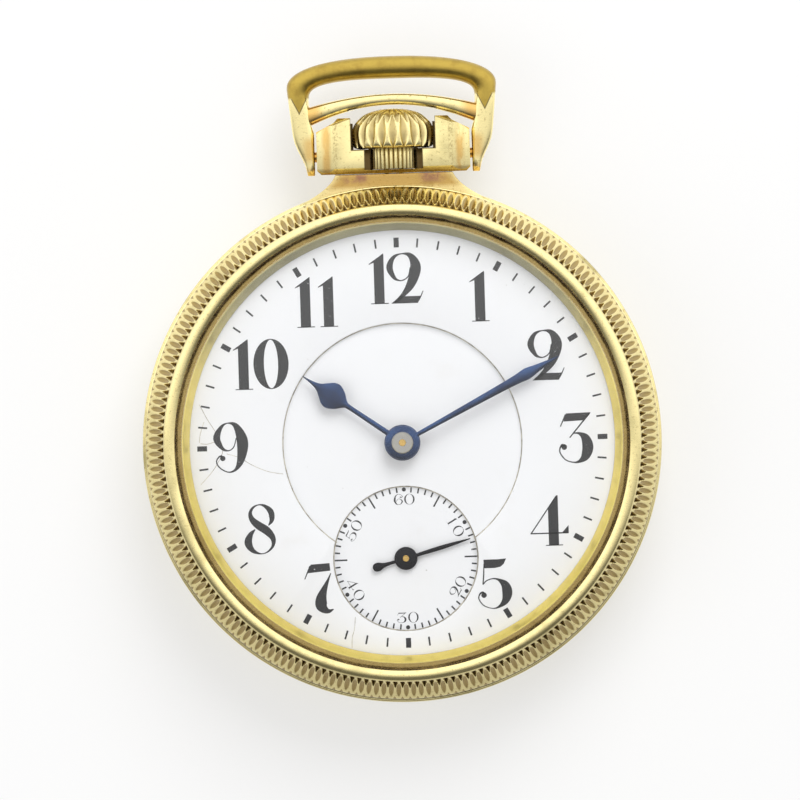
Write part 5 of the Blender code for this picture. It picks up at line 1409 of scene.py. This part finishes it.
def mark(bm, inner, outer, width, turn, level, center=(0.0, 0.0)):
    """A straight mark along a radius, at a clockwise angle from the top."""
    made = bmesh.ops.create_grid(bm, x_segments=1, y_segments=1, size=0.5)["verts"]
    lay = Matrix.Translation((*center, level)) @ Matrix.Rotation(-turn, 4, "Z")
    lay = lay @ Matrix.Translation((0.0, (inner + outer) / 2, 0.0))
    bmesh.ops.transform(bm, matrix=lay @ Matrix.Diagonal((width, outer - inner, 1.0, 1.0)), verts=made)


class WATCH_OT_printing(bpy.types.Operator):
    """Prints the numerals, the minute marks and the seconds marks, and draws the hairlines in the enamel"""

    bl_idname = "watch.printing"
    bl_label = "Dial printing"

    second_inner, second_outer = 6.42, 6.92
    five_inner = 5.7
    second_width = 0.15
    dot_place, dot_radius = 6.7, 0.2
    figure_place = 5.74
    sink_line, small_line = 0.1, 0.12

    def execute(self, context):
        sizes = context.scene.watch_dial
        rise = sizes.ink / MM
        black = ink("ink_black")
        bm = bmesh.new()
        for text, place in HOURS.items():
            numeral(bm, text, place, sizes.numeral / MM, DIAL_TOP + rise, advance=ADVANCE.get(text, 0.0))
        for minute in range(60):
            hour = minute % 5 == 0
            long, wide = (sizes.bar, sizes.bar_width) if hour else (sizes.tick, sizes.tick_width)
            middle = sizes.track / MM
            half = long / MM / 2
            mark(bm, middle - half, middle + half, wide / MM, TURN * minute / 60, DIAL_TOP + rise)
        self.seconds(bm, sizes, SMALL_TOP + rise)
        thicken(bm, list(bm.faces), rise + 0.003)
        piece("dial_print", bm, black, "case")
        self.hairlines(sizes, rise)
        return {"FINISHED"}

    def seconds(self, bm, sizes, level):
        center = (0.0, SECONDS_Y)
        for second in range(60):
            turn = TURN * second / 60
            if second % 10 == 0:
                spot = Matrix.Translation((*center, level)) @ Matrix.Rotation(-turn, 4, "Z")
                spot = spot @ Matrix.Translation((0.0, self.dot_place, 0.0))
                bmesh.ops.create_circle(bm, cap_ends=True, segments=16, radius=self.dot_radius, matrix=spot)
                continue
            inner = self.five_inner if second % 5 == 0 else self.second_inner
            mark(bm, inner, self.second_outer, self.second_width, turn, level, center)
        for ten, text in enumerate(("60", "10", "20", "30", "40", "50")):
            turn = TURN * ten / 6
            place = (self.figure_place * math.sin(turn), SECONDS_Y + self.figure_place * math.cos(turn))
            upright = turn - (math.pi if ten in (2, 3, 4) else 0.0)
            numeral(bm, text, place, sizes.small_numeral / MM, level, upright, 0.5, 1.38, 0.76)

    def hairlines(self, sizes, rise):
        bm = bmesh.new()
        for points in CRACKS:
            half = sizes.crack / MM / 2
            stroke(bm, [(x, y, half) for x, y in points])
        for vert in bm.verts:
            vert.co.z = DIAL_TOP + rise / 2
        thicken(bm, list(bm.faces), rise)
        piece("dial_cracks", bm, hairline("enamel_crack"), "case")
        self.sink_shade_lines(rise)

    def sink_shade_lines(self, rise):
        """Thin dark lines where the sunk discs meet the enamel round them, as painted shade at the step."""
        bm = bmesh.new()
        turns = [TURN * i / 360 for i in range(361)]
        for turn, after in zip(turns, turns[1:]):
            if min(sink_radius(t, 0.0) for t in (turn, after)) > SINK_RADIUS:
                continue
            inner = SINK_RADIUS - self.sink_line
            corners = [(inner, turn), (SINK_RADIUS, turn), (SINK_RADIUS, after), (inner, after)]
            points = [(r * math.cos(t), r * math.sin(t), SUNK_TOP + rise) for r, t in corners]
            bm.faces.new([bm.verts.new(point) for point in points])
        bmesh.ops.remove_doubles(bm, verts=bm.verts, dist=MERGE)
        loops = [ring_points(r, 180, (0.0, SECONDS_Y)) for r in (SMALL_RADIUS, SMALL_RADIUS - self.small_line)]
        edges = []
        for loop in loops:
            edges += chain(bm, [(x, y, SMALL_TOP + rise) for x, y in loop], True)[1]
        bmesh.ops.bridge_loops(bm, edges=edges)
        thicken(bm, list(bm.faces), rise)
        piece("dial_sink_shade", bm, hairline("enamel_sink_shade"), "case")


# Hands
def blade(bm, stations, level, crown):
    """A pointer along +Y with a raised middle: stations are (distance, half width)."""
    curve = smoothed([(0.0, y, half) for y, half in stations], 5)
    rows = []
    for across in (-1.0, -0.55, 0.0, 0.55, 1.0):
        rows.append([(half * across, y, level - crown * across**2) for _, y, half in curve])
    loft(bm, rows, False)


def boss(bm, hole, radius, low, high):
    """A round boss with a hole and a rounded upper edge."""
    edge = (high - low) * 0.4
    profile = [(hole, low), (radius, low), (radius, high - edge)]
    profile += [(radius - edge * 0.3, high - edge * 0.3), (radius - edge, high), (hole, high)]
    turned_boss = spun(profile, 48)
    mesh = bpy.data.meshes.new("boss")
    turned_boss.to_mesh(mesh)
    turned_boss.free()
    bm.from_mesh(mesh)
    bpy.data.meshes.remove(mesh)


class WATCH_OT_hands(bpy.types.Operator):
    """Makes the blued hour, minute and seconds hands and the steel cap over them"""

    bl_idname = "watch.hands"
    bl_label = "Hands"

    def execute(self, context):
        sizes = context.scene.watch_hands
        crown = sizes.crown / MM
        c = colours()
        blue = blued("blued_hands", c.blue, c.deep_blue)
        black = blued("blued_black", c.black, c.ink)
        hour = [
            (1.5, 0.27), (3.6, 0.25), (6.2, 0.24), (6.75, 0.42), (7.3, 0.92), (8.0, 1.28), (8.6, 1.24),
            (9.2, 0.82), (9.75, 0.4), (10.5, 0.17), (11.65, 0.04),
        ]
        self.hand("hour", [hour], 1.08, 1.75, (10.05, 10.3), crown, blue, sizes.hour_turn, "hour_wheel")
        minute = [
            (1.5, 0.2), (6.96, 0.3), (12.0, 0.42), (13.6, 0.55), (14.1, 0.53), (15.2, 0.34), (17.4, 0.04),
        ]
        self.hand(
            "minute", [minute], 0.78, 1.65, (10.65, 10.9), crown, blue, sizes.minute_turn, "center_wheel"
        )
        seconds = [(0.9, 0.16), (3.9, 0.2), (6.54, 0.05)]
        tail = [(-3.35, 0.1), (-3.2, 0.34), (-2.75, 0.42), (-2.1, 0.2), (-0.9, 0.14)]
        self.hand(
            "seconds", [seconds, tail], 0.22, 1.13, (9.05, 9.3), crown * 0.6, black,
            sizes.seconds_turn, "fourth_wheel",
        )
        cap = spun([(0.4, 10.93), (1.05, 10.93), (1.05, 10.98), (0.98, 11.05), (0.4, 11.05)], 48)
        steel = metal("steel_cap", c.cap, c.stain, 0.32, 9.0)
        piece("hand_cap", cap, steel, "center_wheel", ["hand_collet"])
        tube = spun([(0.2, 9.3), (0.3, 9.3), (0.3, 9.36), (0.2, 9.36)], 24)
        place = Matrix.Translation((0.0, SECONDS_Y, 0.0))
        brass = metal("brass_tube", c.brass, c.shadow, 0.2)
        piece("seconds_tube", tube, brass, "fourth_wheel", move=place)
        return {"FINISHED"}

    def hand(self, name, blades, hole, radius, levels, crown, finish, turn, body):
        low, high = levels
        bm = bmesh.new()
        for stations in blades:
            blade(bm, stations, high, crown)
        thicken_flat(bm, low)
        boss(bm, hole, radius, low, high)
        center = (0.0, SECONDS_Y, 0.0) if name == "seconds" else (0.0, 0.0, 0.0)
        place = Matrix.Translation(center) @ Matrix.Rotation(-turn, 4, "Z")
        piece(f"{name}_pointer", bm, finish, body, [f"{name}_hand"], 40.0, place)


# Movement
class WATCH_OT_movement(bpy.types.Operator):
    """Gives the wheels, plates, springs and screws inside the case their finishes"""

    bl_idname = "watch.movement"
    bl_label = "Movement finishes"

    def execute(self, context):
        c = colours()
        finishes = {
            striped("nickel_striped"): [
                "main_plate", "barrel_bridge", "train_bridge", "balance_cock", "pallet_cock",
            ],
            turned("brass_turned", c.brass, c.shadow, 0.22): [
                "barrel", "barrel_cover", "center_wheel", "third_wheel", "fourth_wheel", "escape_wheel",
                "balance_wheel", "minute_wheel", "hour_wheel",
            ],
            turned("steel_turned", c.steel, c.shadow, 0.2): ["ratchet_wheel", "crown_wheel"],
            metal("steel_polished", c.steel, c.shadow, 0.16): [
                "stem", "winding_pinion", "clutch", "barrel_arbor", "cannon_pinion", "pallet_fork",
                "balance_staff", "regulator", "click", "click_spring", "mainspring", "crown_wheel_screw",
            ],
            metal("gold_pins", c.warm, c.shadow, 0.25): ["bow_pin_left", "bow_pin_right"],
            blued("blued_screws", c.blue, c.deep_blue): [
                "hairspring", "click_screw", "balance_cock_screw_1", "case_screw_1", "case_screw_2",
                *(f"{bridge}_bridge_screw_{n}" for bridge in ("barrel", "train") for n in (1, 2, 3)),
            ],
            jewel("ruby_clear"): ["balance_jewel"],
            metal("copper_drawn", c.copper, c.shadow, 0.3): [f"dial_foot_{n}" for n in (1, 2, 3)],
        }
        for finish, nodes in finishes.items():
            for node in nodes:
                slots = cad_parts[node].data.materials
                slots.clear()
                slots.append(finish)
        return {"FINISHED"}


# Stage
class WATCH_OT_stage(bpy.types.Operator):
    """Sets the floor, the studio light and the camera"""

    bl_idname = "watch.stage"
    bl_label = "Stage"

    floor_half = 3.0
    key_place = (0.14, 0.44, 0.46)
    fill_place = (-0.42, -0.12, 0.42)
    lamp_size = 0.42

    def execute(self, context):
        sizes = context.scene.watch_stage
        context.scene.view_settings.view_transform = "Standard"
        bm = bmesh.new()
        bmesh.ops.create_grid(bm, x_segments=8, y_segments=8, size=self.floor_half)
        mesh = bpy.data.meshes.new("floor")
        bm.to_mesh(mesh)
        bm.free()
        mesh.materials.append(pale_floor("floor_pale"))
        floor = bpy.data.objects.new("floor", mesh)
        context.scene.collection.objects.link(floor)
        self.light_all_round(context, sizes)
        self.lamp("key", self.key_place, sizes.key, sizes.aim)
        self.lamp("fill", self.fill_place, sizes.fill, sizes.aim)
        self.camera(context, sizes)
        return {"FINISHED"}

    def light_all_round(self, context, sizes):
        """Even light on matte surfaces, white for the camera, and in mirrors a sky that darkens to the front."""
        world = bpy.data.worlds.new("studio")
        context.scene.world = world
        f = Finish("studio", world)
        spot = f.node("TexCoord", {}, {}, "Generated")
        _, along, _ = f.axes(spot)
        mirrored = along.ramp(-0.5, 0.35) * 1.4 + 0.16
        path = f.node("LightPath", {}, {}, "Is Camera Ray")
        seen = path.most(path.other("Is Transmission Ray"))
        glossy = path.other("Is Glossy Ray")
        level = seen + (1 - seen) * (glossy * mirrored + (1 - glossy) * sizes.sky)
        f.output(f.node("Background", {}, {"Color": WHITE, "Strength": level}), "OutputWorld")

    def lamp(self, name, place, power, aim):
        data = bpy.data.lights.new(name, "AREA")
        data.energy = power
        data.size = self.lamp_size
        made = bpy.data.objects.new(name, data)
        made.location = place
        made.visible_glossy = False
        made.rotation_euler = (Vector(aim) - Vector(place)).to_track_quat("-Z", "Y").to_euler()
        bpy.context.scene.collection.objects.link(made)

    def camera(self, context, sizes):
        top = Vector((math.sin(sizes.roll), math.cos(sizes.roll), 0.0))
        back = (UP - top * math.tan(sizes.tilt)).normalized()
        up = (top - back * top.dot(back)).normalized()
        data = bpy.data.cameras.new("camera")
        data.sensor_width = 36.0
        data.lens = data.sensor_width * sizes.distance / sizes.width
        data.clip_start = 0.01
        camera = bpy.data.objects.new("camera", data)
        turn = Matrix((up.cross(back), up, back)).transposed().to_4x4()
        camera.matrix_world = Matrix.Translation(Vector(sizes.aim) + back * sizes.distance) @ turn
        context.scene.collection.objects.link(camera)
        context.scene.camera = camera


OPERATORS = (
    WATCH_OT_case_band,
    WATCH_OT_bezel,
    WATCH_OT_crystal,
    WATCH_OT_case_back,
    WATCH_OT_pendant,
    WATCH_OT_bow,
    WATCH_OT_crown,
    WATCH_OT_dial,
    WATCH_OT_printing,
    WATCH_OT_hands,
    WATCH_OT_movement,
    WATCH_OT_stage,
)


class WATCH_PT_sidebar(bpy.types.Panel):
    """Lists the pieces of the watch and their settings"""

    bl_label = "Pocket Watch"
    bl_space_type = "VIEW_3D"
    bl_region_type = "UI"
    bl_category = "Watch"

    def draw(self, context):
        for operator in OPERATORS:
            self.layout.operator(operator.bl_idname)
        for name, group in GROUPS.items():
            box = self.layout.box()
            box.label(text=group.__doc__)
            for key in group.__annotations__:
                box.prop(getattr(context.scene, name), key)


CLASSES = (*GROUPS.values(), *OPERATORS, WATCH_PT_sidebar)


def register():
    for made in CLASSES:
        bpy.utils.register_class(made)
    for name, group in GROUPS.items():
        setattr(bpy.types.Scene, name, bpy.props.PointerProperty(type=group))


def unregister():
    for name in GROUPS:
        delattr(bpy.types.Scene, name)
    for made in reversed(CLASSES):
        bpy.utils.unregister_class(made)


def main():
    register()
    bpy.ops.watch.case_band()
    bpy.ops.watch.bezel()
    bpy.ops.watch.crystal()
    bpy.ops.watch.case_back()
    bpy.ops.watch.pendant()
    bpy.ops.watch.bow()
    bpy.ops.watch.crown()
    bpy.ops.watch.dial()
    bpy.ops.watch.printing()
    bpy.ops.watch.hands()
    bpy.ops.watch.movement()
    bpy.ops.watch.stage()


if __name__ == "__main__":
    main()
